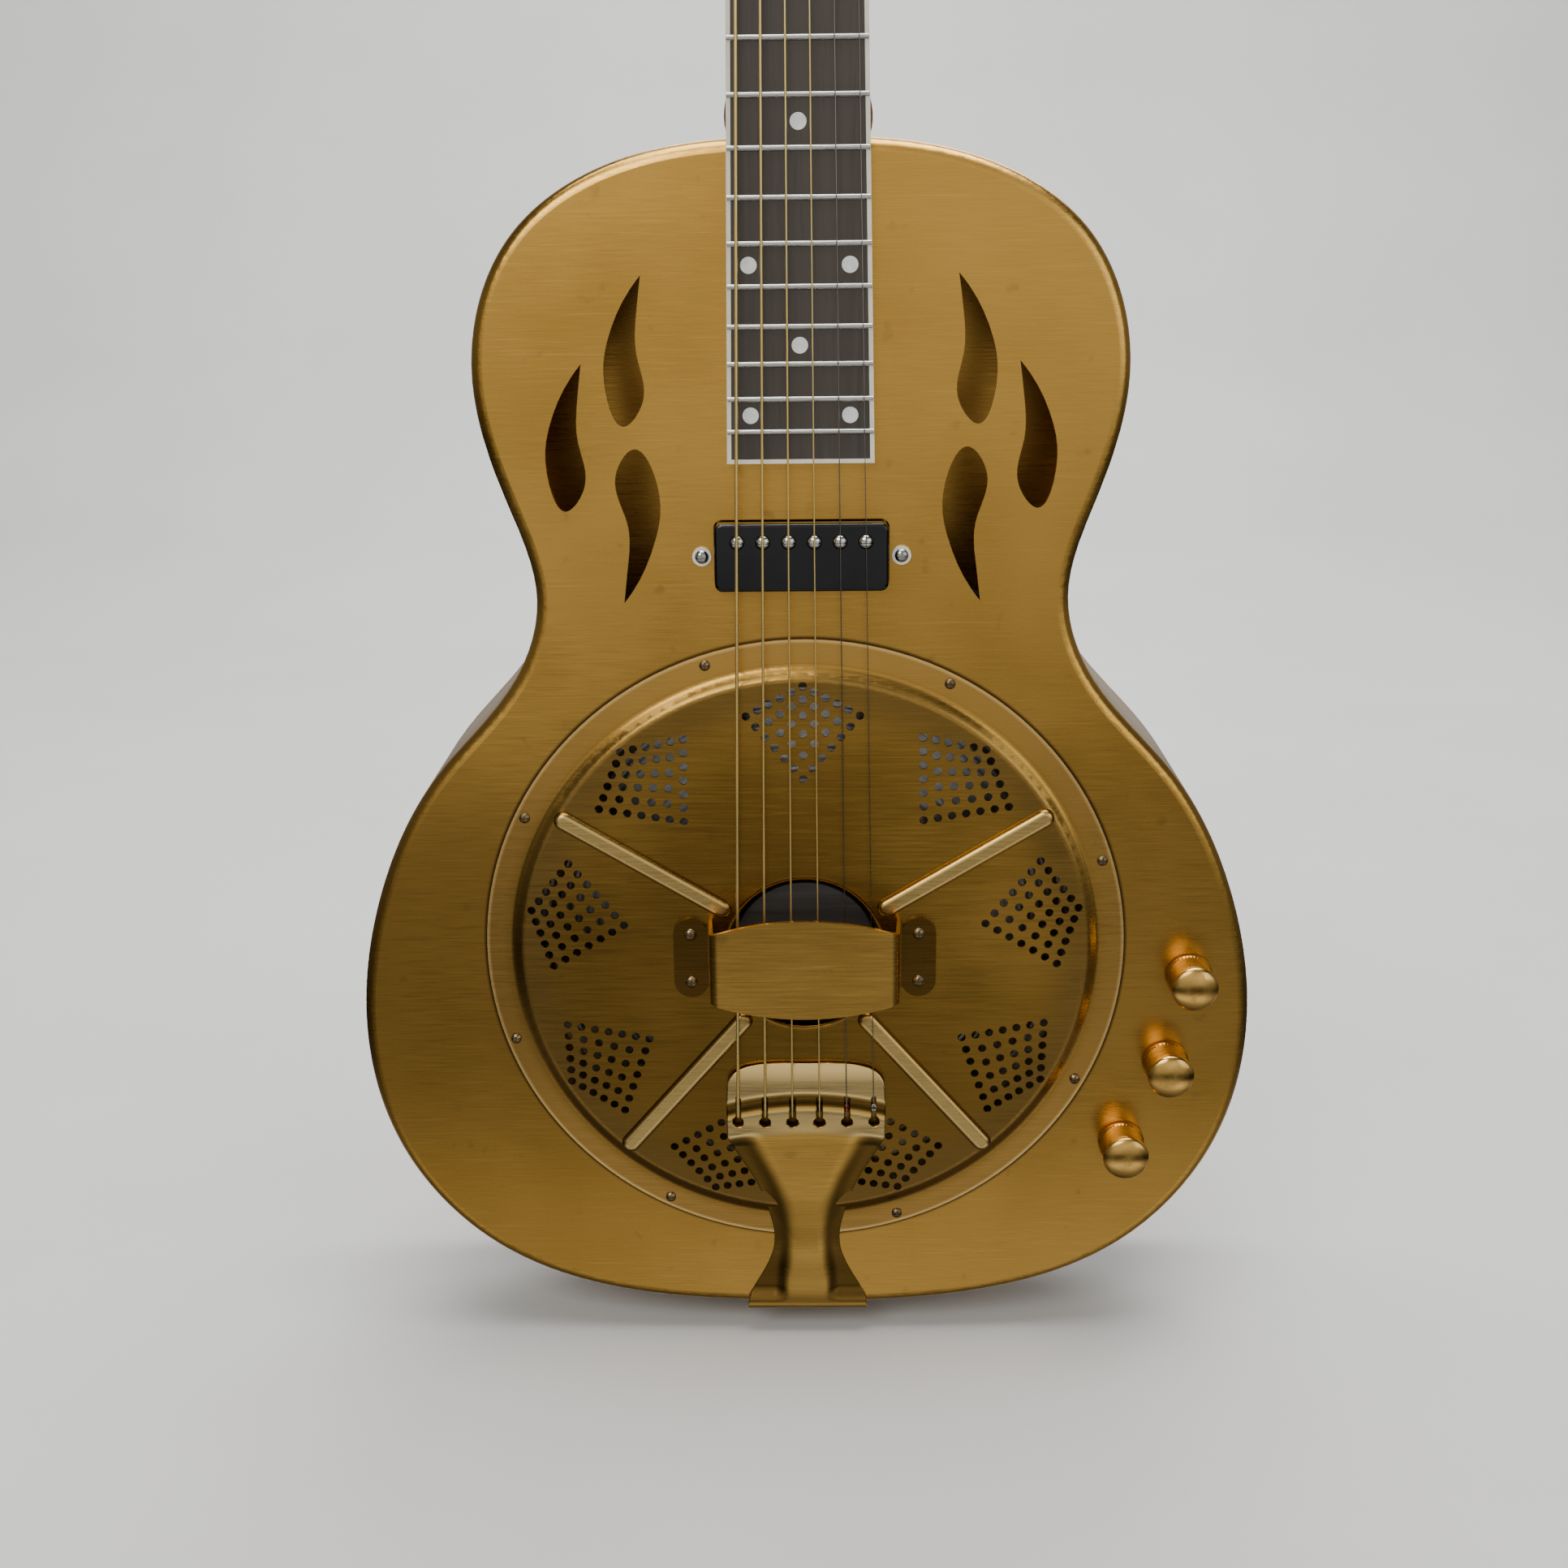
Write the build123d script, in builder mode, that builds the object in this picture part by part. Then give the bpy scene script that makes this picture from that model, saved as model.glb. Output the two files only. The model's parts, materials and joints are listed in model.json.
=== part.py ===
"""Metal-body resonator guitar with a single cone, twelve frets clear of the body.

Millimetres.  +X is the treble side, +Z runs up the neck, the front faces -Y.
The origin is the middle of the strap button's neck at the tail.
Heights written "h" are measured out of the body's flat front.
"""
import os
from math import cos, radians, sin

from build123d import *

os.makedirs("parts", exist_ok=True)

# ---------------------------------------------------------------- driving dimensions
TAIL = 7.0               # tail wall of the body above the strap button's middle
DEEP = 42.0              # half the body's depth
BODY_LEN = 502.0         # tail wall to neck joint
SHEET = 1.2              # brass sheet
ROLL = 5.0               # rolled edge round front and back
PAN = 7.0                # how far front and back pans reach round the edge
SCALE = 635.0            # nut to theoretical saddle line
SADDLE_LINE = TAIL + 180.0
NUT_Z = SADDLE_LINE + SCALE
CENTRE = TAIL + 172.0    # middle of coverplate, cone and biscuit
SADDLE_Z = TAIL + 176.0  # saddle, set back for intonation
BOARD_END = TAIL + 379.5
BOARD_T = 7.0
BOARD_W12 = 54.4         # board width at the twelfth fret
BOARD_TAPER = 0.03
BINDING = 1.7
FRETS = 19
COVER_R = 135.5
COVER_T = 1.1
PLATEAU_R = 118.5
PLATEAU_H = 5.0
COVER_HOLE_R = 33.4
WELL_R = 124.5
CONE_R = 119.5
REST_H = 25.0            # top of the hand rest
REST_Z = TAIL + 171.0
TAIL_TOP = 9.5           # top of the tailpiece head
KEYHOLE_Z = TAIL + 95.5
SLOT_END_Z = TAIL + 107.5
PICKUP_Z = TAIL + 342.2
POLE_Z = TAIL + 348.5
HEAD_ANGLE = 13.0
HEAD_T = 15.0
POST_U = 24.0
POST_V = (40.0, 78.0, 116.0)
KNOBS = {"volume": (163.8, 159.5), "tone": (155.6, 119.3), "blend": (138.0, 81.0)}
STRING_R = (0.17, 0.22, 0.32, 0.42, 0.54, 0.67)
NUT_STRING_H = 8.4       # underside of the strings at the nut
SADDLE_STRING_H = 12.2   # underside of the strings at the saddle

# Half outline of the body: half width and distance from the tail wall.
OUTLINE = [
    (0, 0), (66, 3.6), (137.5, 28.5), (178.5, 77.0), (190.8, 131.0), (181.8, 193.0),
    (152.3, 250.5), (117.5, 292.0), (108.0, 323.5), (118.8, 365.0), (129.5, 415.5),
    (112.8, 465.4), (66, 495.0), (0, BODY_LEN),
]
HALF_W = 191.0

# Flame-shaped sound holes: tip position, direction and lean of the bowl.
FLAME = [(7.0, -9.6), (13.5, -24.4), (15.2, -42.5), (8.2, -57.8), (0.5, -48.5), (2.3, -30.2),
         (1.5, -11.0)]
FLAME_UP = [(61.5, 451.4), (85.8, 418.0)]
FLAME_DOWN = (71.9, 322.8)


def front(h):
    """Plane parallel to the body's front, h out of it; its axes are X and Z."""
    return Plane.XZ.offset(DEEP + h)


def pt(x, h, z):
    return Vector(x, -(DEEP + h), z)


def at_front(x, h, z):
    return Plane(origin=pt(x, h, z), x_dir=(1, 0, 0), z_dir=(0, -1, 0)).location


HEAD = Plane(
    origin=pt(0, 0, NUT_Z + 5.0),
    x_dir=(1, 0, 0),
    z_dir=(0, -cos(radians(HEAD_ANGLE)), sin(radians(HEAD_ANGLE))),
)


def hp(u, v, w):
    """Point on the headstock: across, along and out of its face."""
    return HEAD.origin + HEAD.x_dir * u + HEAD.y_dir * v + HEAD.z_dir * w


def board_half(z):
    return (BOARD_W12 + BOARD_TAPER * (SADDLE_LINE + SCALE / 2 - z)) / 2


def fret_z(n):
    return SADDLE_LINE + SCALE * 2 ** (-n / 12)


def string_x(i, z):
    """String i, 0 the thinnest on the treble side, 5 the thickest."""
    spread = 56.3 - 0.0304 * (z - SADDLE_LINE)
    return spread * (0.5 - i / 5)


def outline_points(inset):
    """Points of the whole outline, each moved inwards square to its neighbours' chord."""
    ring = OUTLINE + [(-x, z) for x, z in OUTLINE[-2:0:-1]]
    points = []
    for k, (x, z) in enumerate(ring):
        before = Vector(*ring[k - 1])
        after = Vector(*ring[(k + 1) % len(ring)])
        along = (after - before).normalized()
        points.append((x - along.Y * inset, TAIL + z + along.X * inset))
    return points


def body_block(inset):
    with BuildPart() as blk:
        with BuildSketch(front(-inset)):
            with BuildLine():
                Spline(*outline_points(inset), periodic=True)
            make_face()
        extrude(amount=-(2 * DEEP - 2 * inset))
        ends = blk.faces().sort_by(Axis.Y)
        fillet(ends[0].edges() + ends[-1].edges(), ROLL - inset)
    return blk.part


def round_screw(head_r, head_h, shank_r, shank_len, cross=True):
    """Round-headed screw along +Z, seat at zero."""
    with BuildPart() as s:
        with BuildSketch(Plane.XZ):
            with BuildLine():
                Polyline((0, head_h), (0, -shank_len), (shank_r, -shank_len), (shank_r, 0),
                         (head_r, 0), (head_r, 0.3 * head_h))
                ThreePointArc((head_r, 0.3 * head_h), (0.62 * head_r, 0.82 * head_h), (0, head_h))
            make_face()
        revolve(axis=Axis.Z)
        with Locations((0, 0, head_h)):
            Box(1.25 * head_r, 0.26 * head_r, 1.1 * head_h, mode=Mode.SUBTRACT)
            if cross:
                Box(0.26 * head_r, 1.25 * head_r, 1.1 * head_h, mode=Mode.SUBTRACT)
    return s.part


def tube(points, r, bend=3.0):
    """Round wire along straight runs joined by short bends."""
    with BuildPart() as t:
        with BuildLine() as path:
            FilletPolyline(*points, radius=bend)
        with BuildSketch(Plane(origin=points[0], z_dir=(points[1] - points[0]).normalized())):
            Circle(r)
        sweep(path=path.line)
    return t.part


# ---------------------------------------------------------------- body
outer_block = body_block(0)
inner_block = body_block(SHEET)


def pan(y0, y1):
    """The hollow sheet body between two planes across its depth."""
    with BuildPart() as p:
        add(outer_block)
        with Locations((0, (y0 + y1) / 2, TAIL + BODY_LEN / 2)):
            Box(500, y1 - y0, 700, mode=Mode.INTERSECT)
        add(inner_block, mode=Mode.SUBTRACT)
    return p.part


SCREW_ANGLES = [17.7 + 45 * k for k in range(8)]
COVER_SCREWS = [(131.3 * cos(radians(a)), CENTRE + 131.3 * sin(radians(a))) for a in SCREW_ANGLES]
PICKUP_SCREWS = [(-40.05, TAIL + 341.8), (40.05, TAIL + 341.8)]


def flame_points(side, k):
    tip = FLAME_UP[k] if k < 2 else FLAME_DOWN
    pts = [(0, 0)] + FLAME + [(0, 0)]
    if k < 2:
        return [(side * (tip[0] + x), TAIL + tip[1] + z) for x, z in pts]
    return [(side * (tip[0] - x - 0.045 * z * (1 if z < -45 else 0)), TAIL + tip[1] - 1.07 * z)
            for x, z in pts]


with BuildPart() as body_top:
    add(pan(-DEEP - 1, PAN - DEEP))
    with BuildSketch(front(-4)):
        with Locations((0, CENTRE)):
            Circle(WELL_R)
        with Locations((0, PICKUP_Z)):
            RectangleRounded(70.4, 28.4, 3.4)
        with Locations(*[(x, TAIL + z) for x, z in KNOBS.values()]):
            Circle(4.9)
        with Locations(*COVER_SCREWS):
            Circle(1.3)
        with Locations(*PICKUP_SCREWS):
            Circle(2.0)
    extrude(amount=6, mode=Mode.SUBTRACT)
    for side in (-1, 1):
        for k in range(3):
            with BuildSketch(front(-4)):
                with BuildLine():
                    Spline(*flame_points(side, k))
                make_face()
            extrude(amount=6, mode=Mode.SUBTRACT)
body_top.part.label = "body_top"
export_step(body_top.part, "parts/body_top.step")

STICK_W = 24.0
STICK_H = 28.0
STICK_MID = -49.0        # height of the neck stick's middle
JACK_Z = TAIL + 131.0
JACK_H = -52.0
TAIL_SCREWS = [(-9.0, -22.0), (9.0, -22.0)]
with BuildPart() as body_sides:
    add(pan(PAN - DEEP, DEEP - PAN))
    with Locations(pt(0, STICK_MID, TAIL + BODY_LEN)):
        Box(STICK_W + 0.6, STICK_H + 0.6, 20, mode=Mode.SUBTRACT)
    with BuildSketch(Plane.XY):
        with Locations((0, 0)):
            Circle(2.7)
        with Locations(*[(x, -(DEEP + h)) for x, h in TAIL_SCREWS]):
            Circle(1.6)
    extrude(amount=30, mode=Mode.SUBTRACT)
    with BuildSketch(Plane.YZ.offset(HALF_W - 20)):
        with Locations((-(DEEP + JACK_H), JACK_Z)):
            Circle(5.2)
        with Locations((-(DEEP + JACK_H), JACK_Z - 12), (-(DEEP + JACK_H), JACK_Z + 12)):
            Circle(1.4)
    extrude(amount=30, mode=Mode.SUBTRACT)
body_sides.part.label = "body_sides"
export_step(body_sides.part, "parts/body_sides.step")

with BuildPart() as body_back:
    add(pan(DEEP - PAN, DEEP + 1))
body_back.part.label = "body_back"
export_step(body_back.part, "parts/body_back.step")

# ---------------------------------------------------------------- cone, biscuit, saddle
AXIS_C = Axis(pt(0, 0, CENTRE), (0, -1, 0))


def cplane():
    """Half plane through the cone's axis: local x is radius, local y is h."""
    return Plane(origin=pt(0, 0, CENTRE), x_dir=(1, 0, 0), z_dir=(0, 0, 1))


def rh(points):
    """Radius and height pairs as points of cplane, whose own y points inwards."""
    return [(r, -h) for r, h in points]


with BuildPart() as soundwell:
    with BuildSketch(cplane()):
        with BuildLine():
            Polyline(*rh([(WELL_R - 0.3, -0.1), (WELL_R - 0.3, -33.0), (111.0, -33.0),
                          (111.0, -31.8), (WELL_R - 1.5, -31.8), (WELL_R - 1.5, -0.1)]), close=True)
        make_face()
    revolve(axis=AXIS_C)
soundwell.part.label = "soundwell"
export_step(soundwell.part, "parts/soundwell.step")

with BuildPart() as resonator_cone:
    with BuildSketch(cplane()):
        with BuildLine():
            Polyline(*rh([(0, -8.6), (17.0, -8.6), (60.0, -18.4), (108.0, -29.2), (112.0, -31.1),
                          (CONE_R, -31.1), (CONE_R, -31.8), (111.6, -31.8), (107.4, -29.9),
                          (60.0, -19.1), (16.8, -9.3), (0, -9.3)]), close=True)
        make_face()
    revolve(axis=AXIS_C)
    with BuildSketch(front(-12)):
        with Locations((0, CENTRE - 8)):
            Circle(1.9)
    extrude(amount=6, mode=Mode.SUBTRACT)
resonator_cone.part.label = "resonator_cone"
export_step(resonator_cone.part, "parts/resonator_cone.step")

SADDLE_T = 3.2
with BuildPart() as biscuit:
    with BuildSketch(front(-8.6)):
        with Locations((0, CENTRE)):
            Circle(30.5)
    extrude(amount=8.6)
    fillet(biscuit.faces().sort_by(Axis.Y)[0].edges(), 0.8)
    with Locations(pt(0, 0, SADDLE_Z)):
        Box(80, 8.0, SADDLE_T + 0.1, mode=Mode.SUBTRACT)
    with BuildSketch(front(-9)):
        with Locations((0, CENTRE - 8)):
            Circle(1.7)
    extrude(amount=6, mode=Mode.SUBTRACT)
biscuit.part.label = "biscuit"
export_step(biscuit.part, "parts/biscuit.step")

with BuildPart() as saddle:
    with BuildSketch(Plane.XY.offset(SADDLE_Z - SADDLE_T / 2)):
        with BuildLine():
            Polyline((-29.8, -(DEEP + 12.4)), (-29.8, -(DEEP + 0.2)), (-26.8, -(DEEP + 0.2)),
                     (-26.8, -(DEEP - 4.0)), (26.8, -(DEEP - 4.0)), (26.8, -(DEEP + 0.2)),
                     (29.8, -(DEEP + 0.2)), (29.8, -(DEEP + 12.4)))
            ThreePointArc((29.8, -(DEEP + 12.4)), (0, -(DEEP + 13.6)), (-29.8, -(DEEP + 12.4)))
        make_face()
    extrude(amount=SADDLE_T)
    for i, r in enumerate(STRING_R):
        with Locations(pt(string_x(i, SADDLE_Z), SADDLE_STRING_H - 0.1 + 5, SADDLE_Z)):
            Box(2 * r + 0.3, 10, 20, mode=Mode.SUBTRACT)
saddle.part.label = "saddle"
export_step(saddle.part, "parts/saddle.step")

with BuildPart() as biscuit_screw:
    add(Plane(origin=pt(0, -9.4, CENTRE - 8), x_dir=(1, 0, 0), z_dir=(0, 1, 0)).location
        * round_screw(3.4, 1.8, 1.5, 5.0))
biscuit_screw.part.label = "biscuit_screw"
export_step(biscuit_screw.part, "parts/biscuit_screw.step")

# ---------------------------------------------------------------- coverplate
APEX_OUT = 117.0
APEX_IN = 77.5
SIDE_R = 107.0
SIDE_A = radians(12.6)


def kite_holes():
    """Hole centres of one perforated kite that points along +Y of its own plane."""
    top = Vector(0, APEX_OUT)
    low = Vector(0, APEX_IN)
    right = Vector(SIDE_R * sin(SIDE_A), SIDE_R * cos(SIDE_A))
    left = Vector(-right.X, right.Y)
    holes = []
    for i in range(5):
        for j in range(5):
            u = i / 5
            v = j / 5
            p = top * (1 - u) * (1 - v) + right * u * (1 - v) + left * (1 - u) * v + low * u * v
            holes.append((p.X, p.Y))
    for k in range(7):
        for corner in (left, right):
            if k < 6 or corner is left:
                p = corner + (low - corner) * (k / 6)
                holes.append((p.X, p.Y))
    return holes


with BuildPart() as rib:
    with BuildSketch(Plane.XY):
        SlotCenterToCenter(76.0, 8.2)
    extrude(amount=2.6)
    fillet(rib.faces().sort_by(Axis.Z)[-1].edges(), 2.4)

with BuildPart() as coverplate:
    with BuildSketch(cplane()):
        with BuildLine():
            Polyline(*rh([(125.6, 0), (COVER_R, 0), (COVER_R, 0.7), (126.0, 1.6)]))
            Spline(*rh([(126.0, 1.6), (122.0, 3.4), (PLATEAU_R, PLATEAU_H)]), tangents=((-1, 0.1), (-1, 0)))
            Line(*rh([(PLATEAU_R, PLATEAU_H), (COVER_HOLE_R + 1.8, PLATEAU_H)]))
            ThreePointArc(*rh([(COVER_HOLE_R + 1.8, PLATEAU_H), (COVER_HOLE_R + 0.6, 4.8), (COVER_HOLE_R, 4.3)]))
            Polyline(*rh([(COVER_HOLE_R, 4.3), (COVER_HOLE_R, 3.9), (117.9, 3.9)]))
            Spline(*rh([(117.9, 3.9), (121.2, 2.2), (125.6, 0)]), tangents=((1, 0), (1, 0)))
        make_face()
    revolve(axis=AXIS_C)
    for a in (31, 149, 229, 311):
        place = at_front(0, PLATEAU_H - 0.3, CENTRE) * Location((0, 0, 0), (0, 0, a)) * Location((78.5, 0, 0))
        add(place * rib.part)
    with BuildSketch(front(2)):
        for k in range(9):
            a = radians(40 * k)
            with Locations(*[(x * cos(a) - y * sin(a), CENTRE + x * sin(a) + y * cos(a))
                             for x, y in kite_holes()]):
                Circle(1.75)
    extrude(amount=5, mode=Mode.SUBTRACT)
    with BuildSketch(front(-1)):
        with Locations(*COVER_SCREWS):
            Circle(1.3)
    extrude(amount=3, mode=Mode.SUBTRACT)
    with BuildSketch(front(2)):
        for x in (-48.2, 48.2):
            for dz in (-10.75, 10.75):
                with Locations((x, REST_Z + dz)):
                    Circle(1.3)
    extrude(amount=5, mode=Mode.SUBTRACT)
coverplate.part.label = "coverplate"
export_step(coverplate.part, "parts/coverplate.step")

with BuildPart() as coverplate_screws:
    for x, z in COVER_SCREWS:
        add(at_front(x, 1.4, z) * round_screw(2.2, 1.3, 1.15, 7.0))
coverplate_screws.part.label = "coverplate_screws"
export_step(coverplate_screws.part, "parts/coverplate_screws.step")

# ---------------------------------------------------------------- hand rest
REST_T = 1.6
LEG_X = 40.5
with BuildPart() as handrest:
    with BuildSketch(Plane.XY.offset(REST_Z - 22)):
        with BuildLine():
            Polyline((-56, -(DEEP + 5.0)), (-LEG_X + 1.4, -(DEEP + 5.0)), (-LEG_X + 2.6, -(DEEP + 21.0)))
            ThreePointArc((-LEG_X + 2.6, -(DEEP + 21.0)), (-LEG_X + 3.6, -(DEEP + 22.6)),
                          (-LEG_X + 5.6, -(DEEP + 23.2)))
            ThreePointArc((-LEG_X + 5.6, -(DEEP + 23.2)), (0, -(DEEP + REST_H - REST_T)),
                          (LEG_X - 5.6, -(DEEP + 23.2)))
            ThreePointArc((LEG_X - 5.6, -(DEEP + 23.2)), (LEG_X - 3.6, -(DEEP + 22.6)),
                          (LEG_X - 2.6, -(DEEP + 21.0)))
            Polyline((LEG_X - 2.6, -(DEEP + 21.0)), (LEG_X - 1.4, -(DEEP + 5.0)), (56, -(DEEP + 5.0)),
                     (56, -(DEEP + 5.0 + REST_T)), (LEG_X, -(DEEP + 5.0 + REST_T)),
                     (LEG_X - 1.0, -(DEEP + 21.4)))
            ThreePointArc((LEG_X - 1.0, -(DEEP + 21.4)), (LEG_X - 2.4, -(DEEP + 23.8)),
                          (LEG_X - 5.4, -(DEEP + 24.8)))
            ThreePointArc((LEG_X - 5.4, -(DEEP + 24.8)), (0, -(DEEP + REST_H)),
                          (-LEG_X + 5.4, -(DEEP + 24.8)))
            ThreePointArc((-LEG_X + 5.4, -(DEEP + 24.8)), (-LEG_X + 2.4, -(DEEP + 23.8)),
                          (-LEG_X + 1.0, -(DEEP + 21.4)))
            Polyline((-LEG_X + 1.0, -(DEEP + 21.4)), (-LEG_X, -(DEEP + 5.0 + REST_T)),
                     (-56, -(DEEP + 5.0 + REST_T)), (-56, -(DEEP + 5.0)))
        make_face()
    extrude(amount=46)
    with BuildSketch(front(0)):
        with BuildLine():
            ThreePointArc((-41.5, REST_Z + 15.8), (0, REST_Z + 23.2), (41.5, REST_Z + 15.8))
            Line((41.5, REST_Z + 15.8), (41.5, REST_Z - 13.4))
            ThreePointArc((41.5, REST_Z - 13.4), (0, REST_Z - 20.4), (-41.5, REST_Z - 13.4))
            Line((-41.5, REST_Z - 13.4), (-41.5, REST_Z + 15.8))
        make_face()
        for x in (-48.2, 48.2):
            with Locations((x, REST_Z)):
                SlotCenterToCenter(21.0, 14.6, rotation=90)
    extrude(amount=40, mode=Mode.INTERSECT)
    with BuildSketch(front(4)):
        for x in (-48.2, 48.2):
            for dz in (-10.75, 10.75):
                with Locations((x, REST_Z + dz)):
                    Circle(1.5)
    extrude(amount=5, mode=Mode.SUBTRACT)
handrest.part.label = "handrest"
export_step(handrest.part, "parts/handrest.step")

with BuildPart() as handrest_screws:
    for x in (-48.2, 48.2):
        for dz in (-10.75, 10.75):
            add(at_front(x, 5.0 + REST_T, REST_Z + dz) * round_screw(2.6, 1.5, 1.15, 6.0))
handrest_screws.part.label = "handrest_screws"
export_step(handrest_screws.part, "parts/handrest_screws.step")

# ---------------------------------------------------------------- tailpiece
TAIL_SHEET = 1.7
TAIL_SIDE = [(4.5, 2.5), (20, 2.5), (34, 3.2), (48, 7.2), (60, 7.9), (90, 9.4), (100, TAIL_TOP),
             (108, TAIL_TOP), (123, 7.2)]


def tail_profile(lift):
    """Side profile of the stamping on the YZ plane, raised by lift."""
    top = [(-(DEEP + h + lift), TAIL + z) for z, h in TAIL_SIDE]
    low = [(-(DEEP + h - TAIL_SHEET), TAIL + z) for z, h in reversed(TAIL_SIDE)]
    with BuildSketch(Plane.YZ.offset(-40)) as sk:
        with BuildLine():
            Line((-(DEEP - 5.0), TAIL), (-(DEEP - 5.0), TAIL - 1.5))
            Line((-(DEEP - 5.0), TAIL - 1.5), (-(DEEP - 3.5), TAIL - 1.5 - lift))
            ThreePointArc((-(DEEP - 3.5), TAIL - 1.5 - lift), (-(DEEP + 0.8 + lift), TAIL - 0.2),
                          top[0])
            Spline(*top)
            Line(top[-1], low[0])
            Spline(*low)
            ThreePointArc(low[-1], (-(DEEP - 0.5), TAIL + 0.7), (-(DEEP - 5.0), TAIL))
        make_face()
    return sk.sketch


def half_loop(points):
    """Closed outline from a right-hand half that starts and ends on the centre line."""
    with BuildSketch(front(-10)) as sk:
        with BuildLine():
            ThreePointArc(points[0], (0.62 * points[1][0], (points[0][1] * 0.6 + points[1][1] * 0.4)),
                          points[1])
            Spline(*points[1:4])
            Spline(*points[3:-1])
            Line(points[-2], points[-1])
            mirror(about=Plane.YZ)
        make_face()
    return sk.sketch


TAIL_FRONT = [(0, 122.7), (28.5, 119.4), (33.6, 113.0), (34.4, 91.5), (20.4, 62.0), (15.4, 44.0),
              (14.4, 33.0), (17.2, 22.0), (24.8, 8.0), (27.0, -3.0), (0, -3.0)]
RIDGE_FRONT = [(0, 90.0), (20.0, 88.6), (23.2, 86.0), (20.6, 80.0), (10.5, 60.0), (7.0, 44.0),
               (6.4, 33.0), (8.0, 22.0), (11.0, 12.0), (8.0, 6.6), (0, 5.6)]
with BuildPart() as tailpiece:
    add(tail_profile(0))
    extrude(amount=80, dir=(1, 0, 0))
    add(half_loop([(x, TAIL + z) for x, z in TAIL_FRONT]))
    extrude(amount=40, dir=(0, -1, 0), mode=Mode.INTERSECT)
with BuildPart() as ridge:
    add(tail_profile(1.3))
    extrude(amount=80, dir=(1, 0, 0))
    add(half_loop([(x, TAIL + z) for x, z in RIDGE_FRONT]))
    extrude(amount=40, dir=(0, -1, 0), mode=Mode.INTERSECT)
tail_gap = body_block(-0.15)
with tailpiece:
    add(ridge.part)
    with BuildSketch(Plane.XY.offset(TAIL - 1.5)):
        with BuildLine():
            Polyline((-27, -(DEEP - 5)), (27, -(DEEP - 5)), (13.0, -3.0))
            ThreePointArc((13.0, -3.0), (0, 13.0), (-13.0, -3.0))
            Line((-13.0, -3.0), (-27, -(DEEP - 5)))
        make_face()
    extrude(amount=1.5)
    add(tail_gap, mode=Mode.SUBTRACT)
    with BuildSketch(Plane.XY.offset(TAIL - 3)):
        Circle(2.7)
        with Locations(*[(x, -(DEEP + h)) for x, h in TAIL_SCREWS]):
            Circle(1.6)
    extrude(amount=5, mode=Mode.SUBTRACT)
    with BuildSketch(front(4)):
        for i in range(6):
            x0 = string_x(i, KEYHOLE_Z)
            with Locations((x0, KEYHOLE_Z)):
                Circle(2.35)
            with Locations((x0, (KEYHOLE_Z + SLOT_END_Z) / 2)):
                Rectangle(2.0, SLOT_END_Z - KEYHOLE_Z)
    extrude(amount=10, mode=Mode.SUBTRACT)
tailpiece.part.label = "tailpiece"
export_step(tailpiece.part, "parts/tailpiece.step")

with BuildPart() as tailpiece_screws:
    for x, h in TAIL_SCREWS:
        add(Plane(origin=pt(x, h, TAIL - 1.5), x_dir=(1, 0, 0), z_dir=(0, 0, -1)).location
            * round_screw(3.2, 2.0, 1.3, 9.0))
tailpiece_screws.part.label = "tailpiece_screws"
export_step(tailpiece_screws.part, "parts/tailpiece_screws.step")

with BuildPart() as strap_button:
    with BuildSketch(Plane.XZ):
        with BuildLine():
            Polyline((0, -6.0), (5.6, -6.0), (7.2, -4.8), (6.0, -3.0), (4.5, -3.0), (4.5, 3.0), (6.6, 3.4),
                     (6.6, TAIL - 1.5), (2.4, TAIL - 1.5), (2.4, 32.0), (0, 34.0), (0, -6.0))
        make_face()
    revolve(axis=Axis.Z)
strap_button.part.label = "strap_button"
export_step(strap_button.part, "parts/strap_button.step")

# ---------------------------------------------------------------- neck
JOINT_Z = TAIL + BODY_LEN


def neck_section(z, depth):
    with BuildSketch(Plane.XY.offset(z)) as sk:
        with Locations((0, -DEEP)):
            Ellipse(board_half(z), depth)
            Rectangle(80, 200, align=(Align.CENTER, Align.MAX), mode=Mode.SUBTRACT)
    return sk.sketch


HEAD_OUT = [(21.6, 0), (23.0, 6), (36.5, 26), (38.0, 60), (35.0, 132), (30.0, 146), (14.0, 151), (0, 148)]
with BuildPart() as neck:
    add(neck_section(JOINT_Z, 67.0))
    add(neck_section(JOINT_Z + 14, 52.0))
    add(neck_section(JOINT_Z + 38, 29.0))
    add(neck_section(JOINT_Z + 70, 23.5))
    loft()
    add(neck_section(JOINT_Z + 70, 23.5))
    add(neck_section(NUT_Z + 9, 20.5))
    loft()
    with BuildSketch(HEAD):
        with BuildLine():
            Polyline(HEAD_OUT[0], HEAD_OUT[1])
            Spline(*HEAD_OUT[1:4])
            Line(HEAD_OUT[3], HEAD_OUT[4])
            Spline(*HEAD_OUT[4:])
            Line(HEAD_OUT[-1], (0, 0))
            Line((0, 0), HEAD_OUT[0])
        make_face()
        mirror(about=Plane.YZ)
    extrude(amount=-HEAD_T)
    with BuildSketch(HEAD):
        with Locations((0, 15)):
            Rectangle(70, 30)
    extrude(amount=12, mode=Mode.SUBTRACT)
    with BuildSketch(HEAD.offset(1)):
        for side in (-1, 1):
            with Locations(*[(side * POST_U, v) for v in POST_V]):
                Circle(5.0)
    extrude(amount=-(HEAD_T + 2), mode=Mode.SUBTRACT)
    with Locations(pt(0, 10, (JOINT_Z - 5 + NUT_Z + 5) / 2)):
        Box(80, 20, NUT_Z + 10 - JOINT_Z, mode=Mode.SUBTRACT)
    with Locations(pt(0, -4.5, (JOINT_Z + 20 + NUT_Z - 6) / 2)):
        Box(6.4, 9.0, NUT_Z - 26 - JOINT_Z, mode=Mode.SUBTRACT)
neck.part.label = "neck"
export_step(neck.part, "parts/neck.step")

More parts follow.
